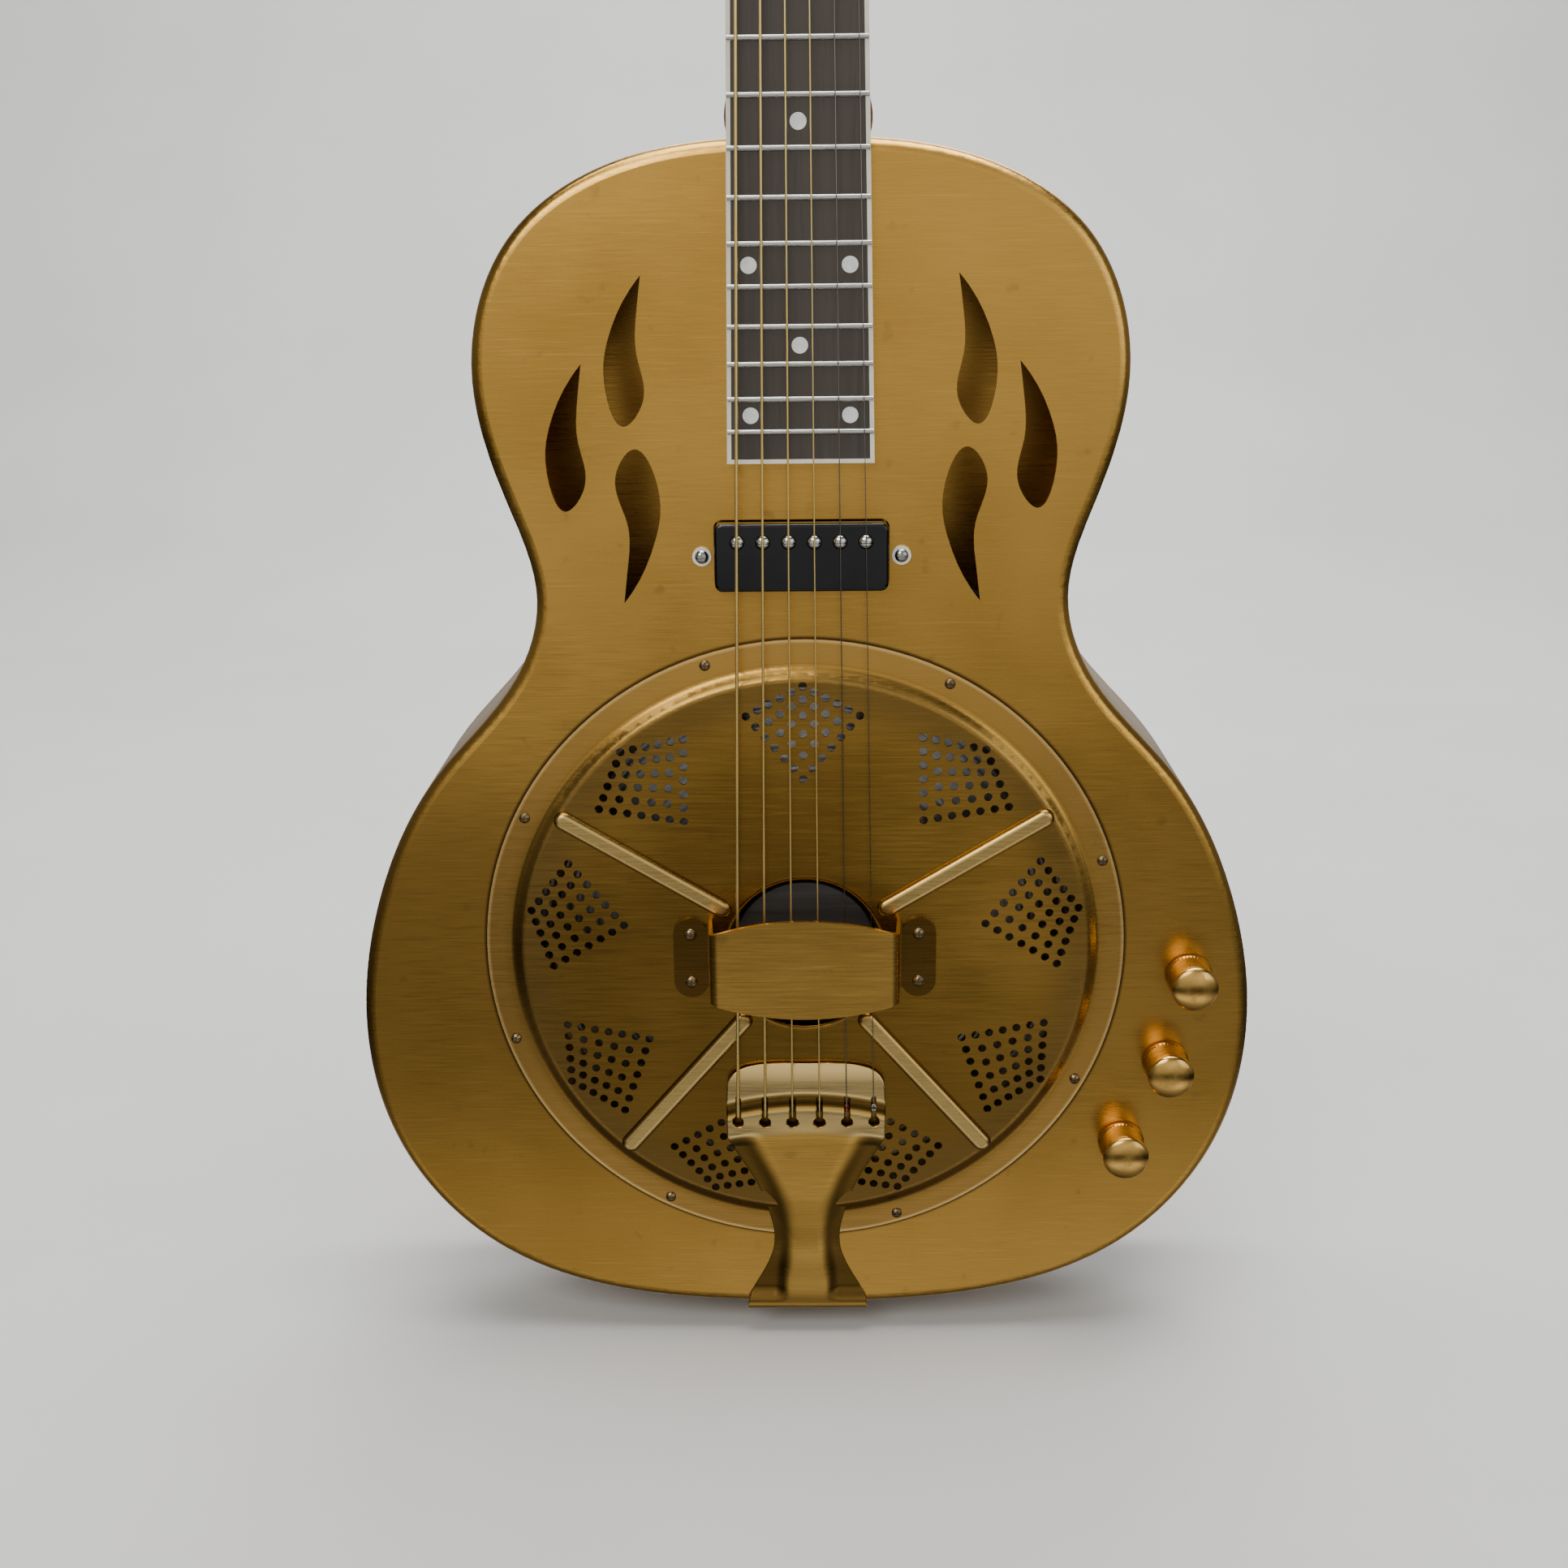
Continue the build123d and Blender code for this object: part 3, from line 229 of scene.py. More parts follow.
        # painted shade on the flanks and in the groove where the value is low, painted highlight with worn metal
        # on the head where it is high
        painted_light_and_wear = s.new("Attribute")
        painted_light_and_wear.attribute_name = "painted_light_and_wear"
        painted_light_and_wear = painted_light_and_wear.outputs["Fac"]
        base = s.mix(s.remap(painted_light_and_wear, 0.0, 0.5, 0.90, 0.0), base, (0.085, 0.046, 0.011))
        base = s.mix(s.remap(painted_light_and_wear, 0.5, 1.0, 0.0, 0.8), base, (1.0, 0.74, 0.32))
    s.color(base)
    s.rough(s.math("ADD", s.math("MULTIPLY", cloud, 0.5), s.math("MULTIPLY", fine, 0.5)), smooth, smooth + 0.12)
    s.bump(marks, 0.10, 0.00006)
    s.bump(s.noise((3.2, 3.2, 3.2), 2, 0.5), 0.08, 0.0030)
    return s.mat


def plated(name, color, rough=0.14, tint=0.12, scale=60.0):
    s = Shader(name, metallic=1.0, roughness=rough)
    n = s.noise((scale,) * 3, 3, 0.6)
    fine = s.noise((scale * 9,) * 3, 2, 0.5)
    worn = tuple(c * (1 - tint * 2.2) for c in color)
    s.color(s.mix(s.remap(n, 0.35, 0.75), color, worn))
    s.rough(n, rough * 0.7, rough * 1.5)
    s.bump(fine, 0.06, 0.0001)
    return s.mat


def plastic(name, color, rough=0.4, var=0.12, scale=120.0, coat=0.0):
    s = Shader(name, roughness=rough, coat=coat)
    n = s.noise((scale,) * 3, 3, 0.6)
    s.color(s.mix(s.remap(n, 0.3, 0.7), color, tuple(c * (1 - var) for c in color)))
    s.rough(n, rough * 0.8, rough * 1.25)
    s.bump(s.noise((scale * 6,) * 3, 2, 0.5), 0.08, 0.0001)
    return s.mat


def wood(name, light, dark, along="Z", rough=0.4, coat=0.0, pores=0.5, grain=1.0, pale=1.35):
    s = Shader(name, roughness=rough, coat=coat)
    k = {"Z": (180, 180, 5), "X": (5, 180, 180)}[along]
    k = tuple(v * grain for v in k)
    lines = s.noise(k, 5, 0.65, 0.8)
    wide = s.noise(tuple(v * 0.25 for v in k), 3, 0.5, 0.5)
    pore = s.noise(tuple(v * 5 for v in k), 2, 0.5)
    base = s.mix(s.remap(lines, 0.32, 0.68), dark, light)
    base = s.mix(s.remap(wide, 0.3, 0.7, 0.0, 0.45), base, tuple(c * pale for c in light))
    base = s.mix(s.remap(pore, 0.58, 0.72, 0.0, pores), base, tuple(c * 0.35 for c in dark))
    s.color(base)
    s.rough(lines, rough * 0.85, rough * 1.2)
    s.bump(pore, 0.25, 0.00012)
    return s.mat


def spun(name):
    s = Shader(name, metallic=1.0, roughness=0.32)
    r = s.radius(0, COVER_Z)
    rings = s.math("SINE", s.math("MULTIPLY", r, 2400.0))
    n = s.noise((25, 25, 25), 3, 0.6)
    s.color(s.mix(s.remap(n, 0.3, 0.7), (0.86, 0.87, 0.88), (0.70, 0.71, 0.73)))
    s.rough(n, 0.22, 0.40)
    s.bump(rings, 0.25, 0.0002)
    return s.mat


def wound(name):
    s = Shader(name, metallic=1.0, roughness=0.28)
    turns = s.math("SINE", s.math("MULTIPLY", s.axis("Z"), 2 * math.pi / 0.00045))
    n = s.noise((40, 40, 40), 2, 0.5)
    s.color(s.mix(s.remap(n, 0.3, 0.7), (1.0, 0.80, 0.32), (0.95, 0.70, 0.24)))
    s.rough(n, 0.34, 0.46)
    s.bump(turns, 0.12, 0.00004)
    return s.mat


def drawn(name):
    s = Shader(name, metallic=1.0, roughness=0.22)
    n = s.noise((300, 300, 12), 2, 0.5)
    s.color(s.mix(s.remap(n, 0.3, 0.7), (0.34, 0.31, 0.26), (0.26, 0.23, 0.19)))
    s.rough(n, 0.16, 0.3)
    return s.mat


def pearly(name):
    s = Shader(name, roughness=0.22, coat=0.6)
    n = s.noise((260, 260, 260), 3, 0.6, 1.5)
    m = s.noise((90, 90, 140), 2, 0.5, 2.0)
    base = s.mix(s.remap(n, 0.3, 0.7), (0.80, 0.80, 0.77), (0.62, 0.66, 0.68))
    base = s.mix(s.remap(m, 0.45, 0.7, 0.0, 0.5), base, (0.86, 0.80, 0.76))
    s.color(base)
    s.rough(n, 0.15, 0.3)
    return s.mat


MATS = {
    "brass_body": brushed_brass("brass_body_look", "body"),
    "brass_cover": brushed_brass("brass_cover_look", "cover", (0.62, 0.355, 0.075), (0.46, 0.255, 0.048)),
    "brass_hardware": brushed_brass("brass_hardware_look", "fitting", (0.90, 0.560, 0.150),
                                    (0.74, 0.430, 0.096), 0.22),
    "brass_stamped": brushed_brass("brass_stamped_look", "stamped", (0.80, 0.480, 0.120),
                                   (0.62, 0.360, 0.075), 0.20),
    "brass_inner": plated("brass_inner_look", (0.36, 0.25, 0.10), 0.45, 0.16, 30),
    "spun_aluminium": spun("spun_aluminium_look"),
    "dark_biscuit": wood("dark_biscuit_look", (0.045, 0.043, 0.042), (0.022, 0.021, 0.020), "X", 0.45),
    "maple_saddle": wood("maple_saddle_look", (0.62, 0.45, 0.25), (0.46, 0.30, 0.15), "X", 0.4),
    "steel_screw": plated("steel_screw_look", (0.60, 0.59, 0.56), 0.22, 0.15, 200),
    "aged_screw": plated("aged_screw_look", (0.30, 0.22, 0.12), 0.32, 0.25, 300),
    "neck_wood": wood("neck_wood_look", (0.215, 0.085, 0.030), (0.105, 0.036, 0.013), "Z", 0.32, 0.3),
    "fretboard_wood": wood("fretboard_wood_look", (0.056, 0.044, 0.036), (0.044, 0.034, 0.027), "Z", 0.45, 0, 0.25,
                           1.6, 1.06),
    "cream_binding": plastic("cream_binding_look", (0.78, 0.75, 0.62), 0.32, 0.10, 90, 0.3),
    "fret_wire": plated("fret_wire_look", (0.80, 0.79, 0.74), 0.16, 0.08, 150),
    "pearl": pearly("pearl_look"),
    "bone_nut": plastic("bone_nut_look", (0.80, 0.76, 0.62), 0.38, 0.12, 200),
    "ball_brass": plated("ball_brass_look", (0.75, 0.55, 0.22), 0.2, 0.1, 200),
    # pickup cover: nickel painted near black, a painted reflection of a dark room
    "nickel_cover": plated("nickel_cover_painted_reflection_look", (0.055, 0.056, 0.060), 0.09, 0.05, 40),
    "black_bobbin": plastic("black_bobbin_look", (0.03, 0.03, 0.03), 0.4),
    "nickel_pole": plated("nickel_pole_look", (0.78, 0.76, 0.71), 0.12, 0.08, 200),
    "white_collar": plastic("white_collar_look", (0.82, 0.80, 0.74), 0.4, 0.1, 200),
    "pot_case": plated("pot_case_look", (0.55, 0.54, 0.52), 0.3, 0.15, 80),
    "wire_jacket": plastic("wire_jacket_look", (0.03, 0.03, 0.03), 0.5),
    "jack_metal": plated("jack_metal_look", (0.66, 0.64, 0.60), 0.18, 0.1, 120),
    "tuner_nickel": plated("tuner_nickel_look", (0.70, 0.68, 0.63), 0.12, 0.08, 70),
    "knob_nickel": plated("knob_nickel_look", (0.82, 0.50, 0.135), 0.22, 0.12, 120),
    "plain_string": drawn("plain_string_look"),
    "wound_string": wound("wound_string_look"),
}
for sub in frame["record"]["subparts"]:
    obj = NODES[sub["node"]]
    for ms in obj.material_slots:
        ms.material = MATS[sub["material_slot"]]


# ------------------------------------------------------------------ built pieces
def mesh_piece(name, verts, faces, mat, body):
    """Smooth-shaded mesh that moves with a CAD body."""
    me = bpy.data.meshes.new(name)
    me.from_pydata(verts, [], faces)
    me.validate()
    me.update()
    for p in me.polygons:
        p.use_smooth = True
    ob = bpy.data.objects.new(name, me)
    bpy.context.collection.objects.link(ob)
    me.materials.append(mat)
    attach(ob, body)
    return ob


def lathe(profile, centre, out, side, steps, shape=None):
    """Turned solid: profile of (radius, height) along out from centre; shape changes a radius."""
    out = Vector(out).normalized()
    side = Vector(side).normalized()
    third = out.cross(side)
    verts = []
    faces = []
    for r, h in profile:
        for k in range(steps):
            a = 2 * math.pi * k / steps
            rr = shape(r, h, a) if shape else r
            verts.append(Vector(centre) + out * h + (side * math.cos(a) + third * math.sin(a)) * rr)
    for i in range(len(profile) - 1):
        for k in range(steps):
            n = (k + 1) % steps
            faces.append((i * steps + k, i * steps + n, (i + 1) * steps + n, (i + 1) * steps + k))
    return [tuple(v) for v in verts], faces


KNURL_LOW, KNURL_HIGH = 0.0018, 0.0118   # the knurled part of the skirt
KNURL_DEPTH = 0.00034
KNURL_COUNT = 21                         # half the grooves of each hand round the skirt
KNURL_LEAN = 120                         # radians a groove turns in one metre of height


def knurl(r, h, a):
    """Diamond knurl on the skirt of a control knob."""
    if not KNURL_LOW < h < KNURL_HIGH:
        return r
    wave1 = abs(math.sin(KNURL_COUNT * (a + h * KNURL_LEAN)))
    wave2 = abs(math.sin(KNURL_COUNT * (a - h * KNURL_LEAN)))
    return r - KNURL_DEPTH * (1 - min(wave1, wave2))


KNOB_PROFILE = [(0.0030, 0.0), (0.0096, 0.0), (0.0099, 0.0003), (0.0099, 0.0010), (0.0094, 0.0016)]
KNOB_PROFILE += [(0.0094, 0.0019 + 0.00028 * i) for i in range(36)]
KNOB_PROFILE += [(0.0090, 0.0121), (0.0088, 0.0125), (0.0091, 0.0128), (0.0096, 0.0132), (0.00985, 0.0138),
                 (0.0098, 0.0144), (0.0095, 0.0150), (0.0089, 0.0156), (0.0080, 0.0161), (0.0066, 0.0166),
                 (0.0048, 0.01705), (0.0028, 0.0173), (0.0010, 0.0174), (0.00002, 0.01742)]
for name in ("volume", "tone", "blend"):
    lo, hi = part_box("knob_" + name)
    base = Vector(((lo[0] + hi[0]) / 2, hi[1], (lo[2] + hi[2]) / 2))
    v, f = lathe(KNOB_PROFILE, base, (0, -1, 0), (1, 0, 0), 252, knurl)
    knob = mesh_piece("knurled_knob_" + name, v, f, MATS["knob_nickel"], name + "_knob")
    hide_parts("knob_" + name)


# ------------------------------------------------------------------ tailpiece stamping
def curve(points, at):
    """Smooth value at a place, through (place, value) points; level past both ends."""
    if at <= points[0][0]:
        return points[0][1]
    if at >= points[-1][0]:
        return points[-1][1]
    i = max(k for k, point in enumerate(points[:-1]) if point[0] <= at)
    (a, u), (b, v) = points[i], points[i + 1]
    before, after = points[max(i - 1, 0)], points[min(i + 2, len(points) - 1)]
    m = (v - before[1]) / (b - before[0]) * (b - a)
    n = (after[1] - u) / (after[0] - a) * (b - a)
    t = (at - a) / (b - a)
    return (u * (1 + 2 * t) * (1 - t) ** 2 + m * t * (1 - t) ** 2 + v * t * t * (3 - 2 * t) + n * t * t * (t - 1))


def smooth(t):
    """Soft step from 0 to 1."""
    t = min(max(t, 0.0), 1.0)
    return t * t * (3 - 2 * t)


TAIL_LO, TAIL_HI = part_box("tailpiece")
TAIL_Z = TAIL_HI[2] - 0.1227             # where the body's tail wall starts
SHEET = 1.5                              # thickness of the stamping, mm
FACE = 42.0                              # body's face in front of the body's middle, mm
RIM_WEAR = 0.62                          # wear where the sheet bends round the tail
# tables of (millimetres above the tail wall, millimetres)
HALF_WIDTH = [(-2, 27.0), (4, 26.2), (10, 23.8), (16, 20.4), (22, 17.4), (28, 15.2), (34, 14.5), (40, 14.8),
              (48, 16.4), (56, 18.6), (64, 21.6), (72, 25.8), (80, 30.6), (86, 33.4), (90, 34.3), (112, 34.0),
              (116, 32.6), (119, 29.6), (121, 24.5), (122.2, 16.0), (122.7, 0.5)]
HEIGHT = [(2.5, 2.6), (14, 2.7), (28, 3.0), (44, 5.4), (60, 7.6), (80, 8.8), (92, 9.35), (100, 9.45), (108, 9.45),
          (114, 9.2), (118, 8.6), (121, 7.8), (122.7, 7.1)]
CROWN = [(8, 7.4), (16, 7.0), (24, 5.6), (36, 4.2), (50, 4.8), (60, 7.0), (68, 9.6), (78, 14.0), (86, 17.5)]
FOOT = [(8, 15.0), (16, 14.6), (22, 14.0), (28, 13.6), (34, 13.6), (48, 15.4), (64, 20.6), (80, 29.0), (90, 33.4)]


def stamping_height(x, z):
    """Millimetres above the body's face, and a value from 0, painted shade in the groove and on the flanks, to 1,
    painted highlight with worn metal on a crown.
    """
    arch = 0.0042 * x * x
    crown, foot = curve(CROWN, z), curve(FOOT, z)
    slope = smooth((foot - abs(x)) / (foot - crown))
    live = smooth((z - 3.0) / 7.0) * smooth((93.0 - z - arch) / 7.0)
    h = curve(HEIGHT, z) - 2.6 * live * (1 - slope)
    groove = math.exp(-((z + arch - 105.2) / 3.2) ** 4)
    h -= 0.9 * groove + 0.0006 * x * x * smooth((z - 88) / 6)
    flank = live * smooth(1.35 * (1 - slope))
    # painted shade on the flanks, in the groove and towards the tail end; painted highlight on the head
    painted_light_and_wear = 0.33 - 0.33 * flank - 0.4 * groove
    painted_light_and_wear += 0.67 * smooth((z - 86 + arch) / 8) * (1 - groove)
    painted_light_and_wear -= 0.18 * smooth((20 - z) / 10) * (1 - live * slope)
    return h, min(max(painted_light_and_wear, 0.0), 1.0)


def tailpiece_stamping():
    """Pressed sheet from the tail wall to the head, with its painted light and worn areas stored on the mesh."""
    rows = [(-41.0 + 0.02, -1.5, 27.0), (-42.0, -1.45, 27.0), (-43.0, -1.05, 27.0), (-43.9, -0.2, 26.9),
            (-44.4, 1.0, 26.7)]
    columns = [math.sin(math.pi / 2 * (k / 32 - 1)) * 0.35 + (k / 32 - 1) * 0.65 for k in range(65)]
    verts, painted_light_and_wear = [], []
    for y, z, half in rows:
        for c in columns:
            verts.append((c * half, y, z))
            painted_light_and_wear.append(RIM_WEAR)
    marks = [2.5 + 1.0 * k for k in range(114)] + [116.5 + 0.35 * k for k in range(18)]
    for z in marks:
        half = curve(HALF_WIDTH, z)
        for c in columns:
            h, w = stamping_height(c * half, z)
            verts.append((c * half, -FACE - h, z))
            painted_light_and_wear.append(w)
    n, m = len(rows) + len(marks), len(columns)
    back = []
    for i in range(n):
        for k in range(m):
            x, y, z = verts[i * m + k]
            below = verts[max(i - 1, 0) * m + k]
            above = verts[min(i + 1, n - 1) * m + k]
            run = Vector((0, above[1] - below[1], above[2] - below[2])).normalized()
            back.append((x, y + SHEET * run.z, z - SHEET * run.y))
    size = n * m
    faces = []
    for i in range(n - 1):
        for k in range(m - 1):
            a = i * m + k
            faces.append((a, a + 1, a + m + 1, a + m))
            faces.append((size + a, size + a + m, size + a + m + 1, size + a + 1))
    for i in range(n - 1):
        for a, b in ((i * m, (i + 1) * m), ((i + 2) * m - 1, (i + 1) * m - 1)):
            faces.append((a, b, size + b, size + a))
    for k in range(m - 1):
        faces.append((k + 1, k, size + k, size + k + 1))
        a = (n - 1) * m + k
        faces.append((a, a + 1, size + a + 1, size + a))
    place = [(x / 1000, FACE_Y + FACE / 1000 + y / 1000, TAIL_Z + z / 1000) for x, y, z in verts + back]
    plate = mesh_piece("tailpiece_stamping", place, faces, MATS["brass_stamped"], "guitar")
    data = plate.data.attributes.new("painted_light_and_wear", "FLOAT", "POINT")
    data.data.foreach_set("value", painted_light_and_wear + painted_light_and_wear)
    return plate


KEY_RADIUS = 0.00235
SLOT_HALF, SLOT_TOP, SLOT_END = 0.00095, 0.0114, 0.0120


def keyhole_cutter(x, z):
    """Prism with a round hole below and a narrow slot above, from under to over the plate."""
    outline = [(KEY_RADIUS * math.sin(a), -KEY_RADIUS * math.cos(a))
               for a in [math.radians(-155 + 310 * k / 28) for k in range(29)]]
    outline = [(x + u, z + v) for u, v in outline]
    outline += [(x + SLOT_HALF, z + SLOT_TOP), (x + 0.0005, z + SLOT_END), (x - 0.0005, z + SLOT_END),
                (x - SLOT_HALF, z + SLOT_TOP)]
    n = len(outline)
    verts = [(u, FACE_Y - 0.0015, v) for u, v in outline] + [(u, FACE_Y - 0.0160, v) for u, v in outline]
    faces = [tuple(range(n)), tuple(reversed(range(n, 2 * n)))]
    faces += [(k, k + n, (k + 1) % n + n, (k + 1) % n) for k in range(n)]
    return verts, faces


def face_out(mesh):
    """Turns every face's normal outwards."""
    work = bmesh.new()
    work.from_mesh(mesh)
    bmesh.ops.recalc_face_normals(work, faces=work.faces)
    work.to_mesh(mesh)
    work.free()


def cut_keyholes(plate, places):
    """Cuts every keyhole through the plate and keeps the result as its mesh."""
    verts, faces = [], []
    for x, z in places:
        v, f = keyhole_cutter(x, z)
        faces += [tuple(i + len(verts) for i in face) for face in f]
        verts += v
    me = bpy.data.meshes.new("keyhole_cutter")
    me.from_pydata(verts, [], faces)
    face_out(me)
    face_out(plate.data)
    ob = bpy.data.objects.new("keyhole_cutter", me)
    bpy.context.collection.objects.link(ob)
    mod = plate.modifiers.new("keyholes", "BOOLEAN")
    mod.operation = "DIFFERENCE"
    mod.solver = "EXACT"
    mod.object = ob
    shape = bpy.data.meshes.new_from_object(plate.evaluated_get(bpy.context.evaluated_depsgraph_get()))
    plate.modifiers.remove(mod)
    plate.data = shape
    bpy.data.objects.remove(ob)


# string ball ends: small coloured barrels, one for each string, held under the slots
lo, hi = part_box("ball_ends")
BALLS = [("silver", (0.70, 0.69, 0.66)), ("red", (0.42, 0.035, 0.03)), ("black", (0.04, 0.04, 0.045)),
         ("green", (0.06, 0.20, 0.08)), ("purple", (0.16, 0.07, 0.22)), ("brass", (0.72, 0.50, 0.20))]
BALL = [(0.0007, 0.0004), (0.0007, 0.0), (0.0015, 0.0), (0.0019, 0.0003), (0.0019, 0.0029), (0.0016, 0.0032),
        (0.0009, 0.0033), (0.0007, 0.0030), (0.0007, 0.0004)]
BALL_RADIUS = 0.0019
BALL_RISE = 0.0056                       # a ball's centre above its keyhole
BALL_FRONT = 0.0039                      # a ball's back end in front of the body's face
first = None
keyholes = []
for k, (tone, rgb) in enumerate(BALLS):
    x = hi[0] - BALL_RADIUS - k * (hi[0] - lo[0] - 2 * BALL_RADIUS) / 5
    key_z = (lo[2] + hi[2]) / 2
    keyholes.append((x, key_z))
    c = Vector((x, FACE_Y - BALL_FRONT, key_z + BALL_RISE))
    v, f = lathe(BALL, c, (0, -1, 0), (1, 0, 0), 32)
    mat = MATS["ball_brass"] if tone == "brass" else plated("ball_" + tone + "_look", rgb, 0.28, 0.1, 300)
    ball = mesh_piece("ball_end_" + tone, v, f, mat, "guitar")
    first = first or ball
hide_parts("ball_ends")
stamping = tailpiece_stamping()
cut_keyholes(stamping, keyholes)
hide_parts("tailpiece")


def tube_mesh(points, radius, sides=10):
    """Round wire along points, closed at both ends."""
    verts = []
    faces = []
    n = len(points)
    for i, p in enumerate(points):
        t = (points[min(i + 1, n - 1)] - points[max(i - 1, 0)]).normalized()
        ref = Vector((0.3, 0.8, 0.52)).normalized()
        a = t.cross(ref).normalized()
        b = t.cross(a)
        for k in range(sides):
            w = 2 * math.pi * k / sides
            verts.append(tuple(p + (a * math.cos(w) + b * math.sin(w)) * radius))
    for i in range(n - 1):
        for k in range(sides):
            m = (k + 1) % sides
            faces.append((i * sides + k, i * sides + m, (i + 1) * sides + m, (i + 1) * sides + k))
    faces.append(tuple(range(sides)))
    faces.append(tuple((n - 1) * sides + k for k in reversed(range(sides))))
    return verts, faces


# string windings round the tuner posts; they turn with their posts
POST_WAIST = 0.0026
WIND_TOP, WIND_LOW = 0.0060, 0.0034      # where the wire starts on a post, and how far down it may go
WIND_STEPS = 28                          # straight pieces in one turn
GAUGE = (0.00017, 0.00022, 0.00032, 0.00042, 0.00054, 0.00067)
joints = {j["name"]: j for j in frame["record"]["behaviour"]["joints"]}
for i in range(6):
    j = joints["post_%d_turn" % (i + 1)]
    foot = Vector(j["pos_m"])
    out = Vector(j["axis"]).normalized()
    right = Vector((1, 0, 0))
    up = out.cross(right)
    turn = 1 if foot.x < 0 else -1
    start = math.pi if foot.x > 0 else 0.0
    pts = []
    turns = 3.25 if i > 2 else 4.25
    for k in range(int(turns * WIND_STEPS) + 1):
        a = start + turn * 2 * math.pi * k / WIND_STEPS
        r = POST_WAIST + GAUGE[i] + 0.00005
        h = WIND_TOP - k / WIND_STEPS * (2.15 * GAUGE[i])
        pts.append(foot + out * max(h, WIND_LOW) + (right * math.cos(a) + up * math.sin(a)) * r)
    v, f = tube_mesh(pts, GAUGE[i])
    mesh_piece("winding_%d" % (i + 1), v, f, MATS["plain_string" if i < 2 else "wound_string"],
               "post_%d" % (i + 1))


# ------------------------------------------------------------------ stage, light and camera
def stage_material(name, tone):
    s = Shader(name, roughness=0.85)
    n = s.noise((3, 3, 3), 3, 0.6)
    s.color(s.mix(s.remap(n, 0.3, 0.7), tone, tuple(c * 0.95 for c in tone)))
    return s.mat


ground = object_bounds()[0][2] - 0.001
ROW = [(-4.0, 0.0), (1.3, 0.0), (1.75, 0.06), (2.05, 0.28), (2.2, 0.65), (2.25, 1.2), (2.25, 4.5)]
verts = []
faces = []
for y, z in ROW:
    verts += [(-6, y, ground + z), (6, y, ground + z)]
for i in range(len(ROW) - 1):
    faces.append((2 * i, 2 * i + 1, 2 * i + 3, 2 * i + 2))
me = bpy.data.meshes.new("studio_floor")
me.from_pydata(verts, [], faces)
for p in me.polygons:
    p.use_smooth = True
floor = bpy.data.objects.new("studio_floor", me)
bpy.context.collection.objects.link(floor)
me.materials.append(stage_material("studio_floor_look", (0.74, 0.74, 0.73)))
floor.visible_glossy = False

# (degrees above the horizon, brightness)
SKY = [(-90, 0.10), (-50, 0.40), (-40, 1.40), (-32, 1.20), (-27, 0.10), (-17, 0.05), (-11, 0.62), (-3, 0.95),
       (10, 1.20), (25, 0.80), (42, 0.20), (90, 0.40)]


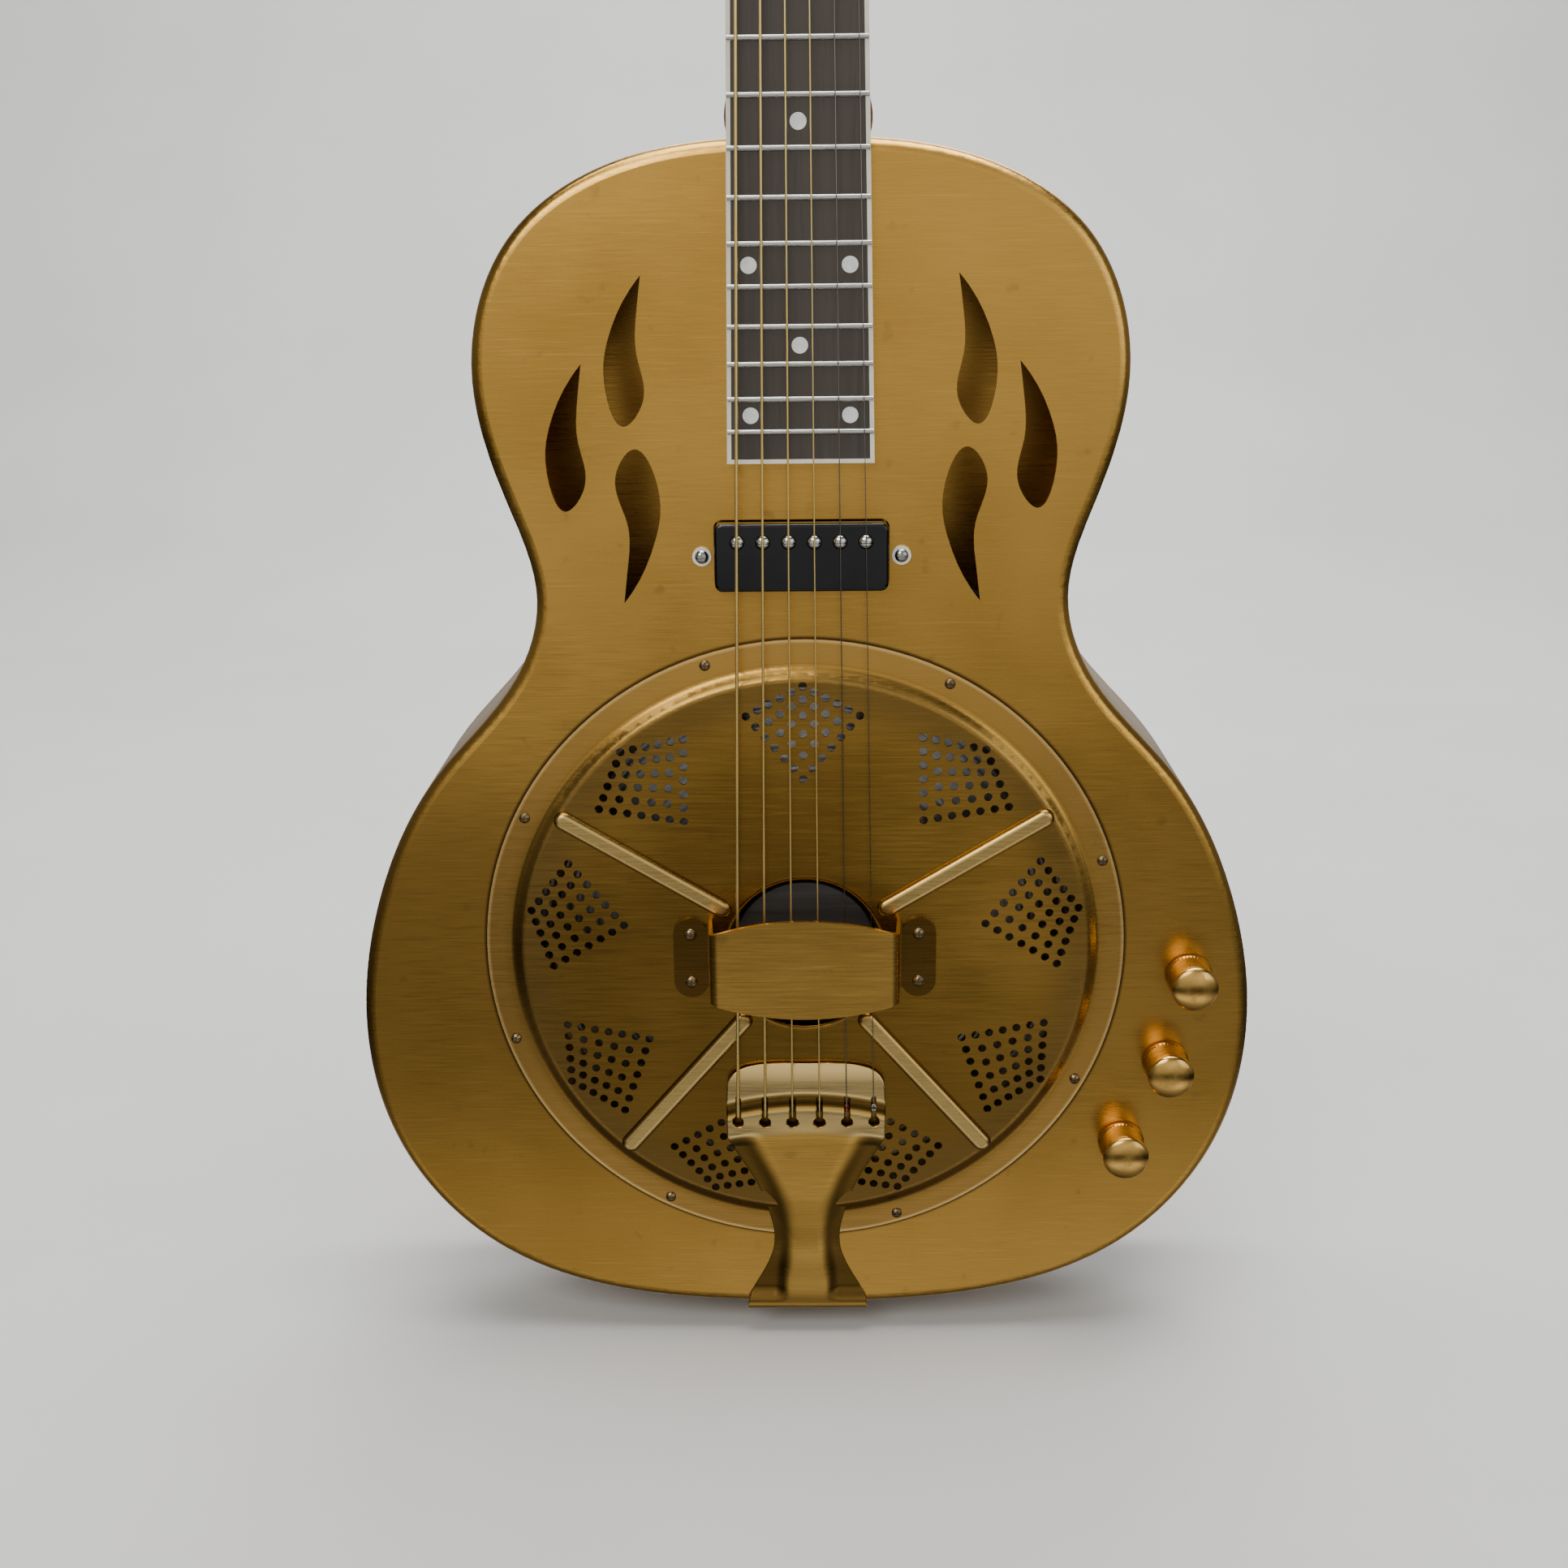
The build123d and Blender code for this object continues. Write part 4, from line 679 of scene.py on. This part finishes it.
def studio_sky():
    """Soft panels in front, dim walls at both sides, darker ceiling: what the brass reflects."""
    world = bpy.data.worlds.new("studio_world")
    bpy.context.scene.world = world
    world.use_nodes = True
    tree = world.node_tree
    back = tree.nodes["Background"]
    direction = tree.nodes.new("ShaderNodeTexCoord").outputs["Generated"]
    parts = tree.nodes.new("ShaderNodeSeparateXYZ")
    tree.links.new(direction, parts.inputs["Vector"])

    def spread(value, lo, hi, out_lo, out_hi, kind="LINEAR"):
        n = tree.nodes.new("ShaderNodeMapRange")
        n.interpolation_type = kind
        tree.links.new(value, n.inputs["Value"])
        for key, v in (("From Min", lo), ("From Max", hi), ("To Min", out_lo), ("To Max", out_hi)):
            n.inputs[key].default_value = v
        return n.outputs["Result"]

    def times(a, b, op="MULTIPLY"):
        n = tree.nodes.new("ShaderNodeMath")
        n.operation = op
        for k, v in enumerate((a, b)):
            if isinstance(v, bpy.types.NodeSocket):
                tree.links.new(v, n.inputs[k])
            else:
                n.inputs[k].default_value = v
        return n.outputs[0]

    ramp = tree.nodes.new("ShaderNodeValToRGB")
    tree.links.new(spread(parts.outputs["Z"], -1, 1, 0, 1), ramp.inputs["Fac"])
    stops = ramp.color_ramp.elements
    for k, (height, tone) in enumerate(SKY):
        place = (math.sin(math.radians(height)) + 1) / 2
        stop = stops[-1 if k else 0] if k in (0, len(SKY) - 1) else stops.new(place)
        stop.color = (tone, tone * 0.985, tone * 0.955, 1)
    sides = spread(times(parts.outputs["X"], 0, "ABSOLUTE"), 0.30, 0.80, 1.0, 0.25, "SMOOTHSTEP")
    right = spread(parts.outputs["X"], -0.5, 0.5, 0.86, 1.12)
    level = times(times(sides, right), 0.66)
    tree.links.new(ramp.outputs["Color"], back.inputs["Color"])
    tree.links.new(level, back.inputs["Strength"])


studio_sky()


def area(name, at, to, size, power, tone=(1, 1, 1)):
    """Rectangular lamp at one point, aimed at another."""
    data = bpy.data.lights.new(name, "AREA")
    data.shape = "RECTANGLE"
    data.size, data.size_y = size
    data.energy = power
    data.color = tone
    ob = bpy.data.objects.new(name, data)
    bpy.context.collection.objects.link(ob)
    ob.location = at
    ob.rotation_mode = "QUATERNION"
    ob.rotation_quaternion = (Vector(to) - Vector(at)).to_track_quat("-Z", "Y")
    return ob


area("key", (-0.9, -1.9, 1.75), (0, 0, 0.35), (1.5, 1.1), 26, (1.0, 0.97, 0.92))
area("fill", (1.7, -1.5, 0.9), (0, 0, 0.35), (1.3, 1.3), 7, (0.95, 0.98, 1.0))
area("top", (0.1, -0.3, 2.2), (0, 0.05, 0.2), (1.6, 0.9), 26)
area("back", (0.3, 1.7, 1.7), (0, 0, 0.4), (1.6, 1.0), 22)
area("wall", (0, 0.3, 2.4), (0, 2.2, 0.6), (2.5, 0.8), 45)

cam_data = bpy.data.cameras.new("camera")
cam_data.lens = 45.04
cam_data.sensor_width = 36
cam_data.clip_start = 0.01
cam_data.clip_end = 50
cam = bpy.data.objects.new("camera", cam_data)
bpy.context.collection.objects.link(cam)
right = Vector((0.99986, 0.0128, -0.01052)).normalized()
ahead = Vector((-0.01531, 0.95668, -0.2907)).normalized()
upward = right.cross(ahead).normalized()
cam.matrix_world = Matrix((
    (right.x, upward.x, -ahead.x, 0.0044),
    (right.y, upward.y, -ahead.y, -0.8222),
    (right.z, upward.z, -ahead.z, 0.49004),
    (0, 0, 0, 1),
))
bpy.context.scene.camera = cam
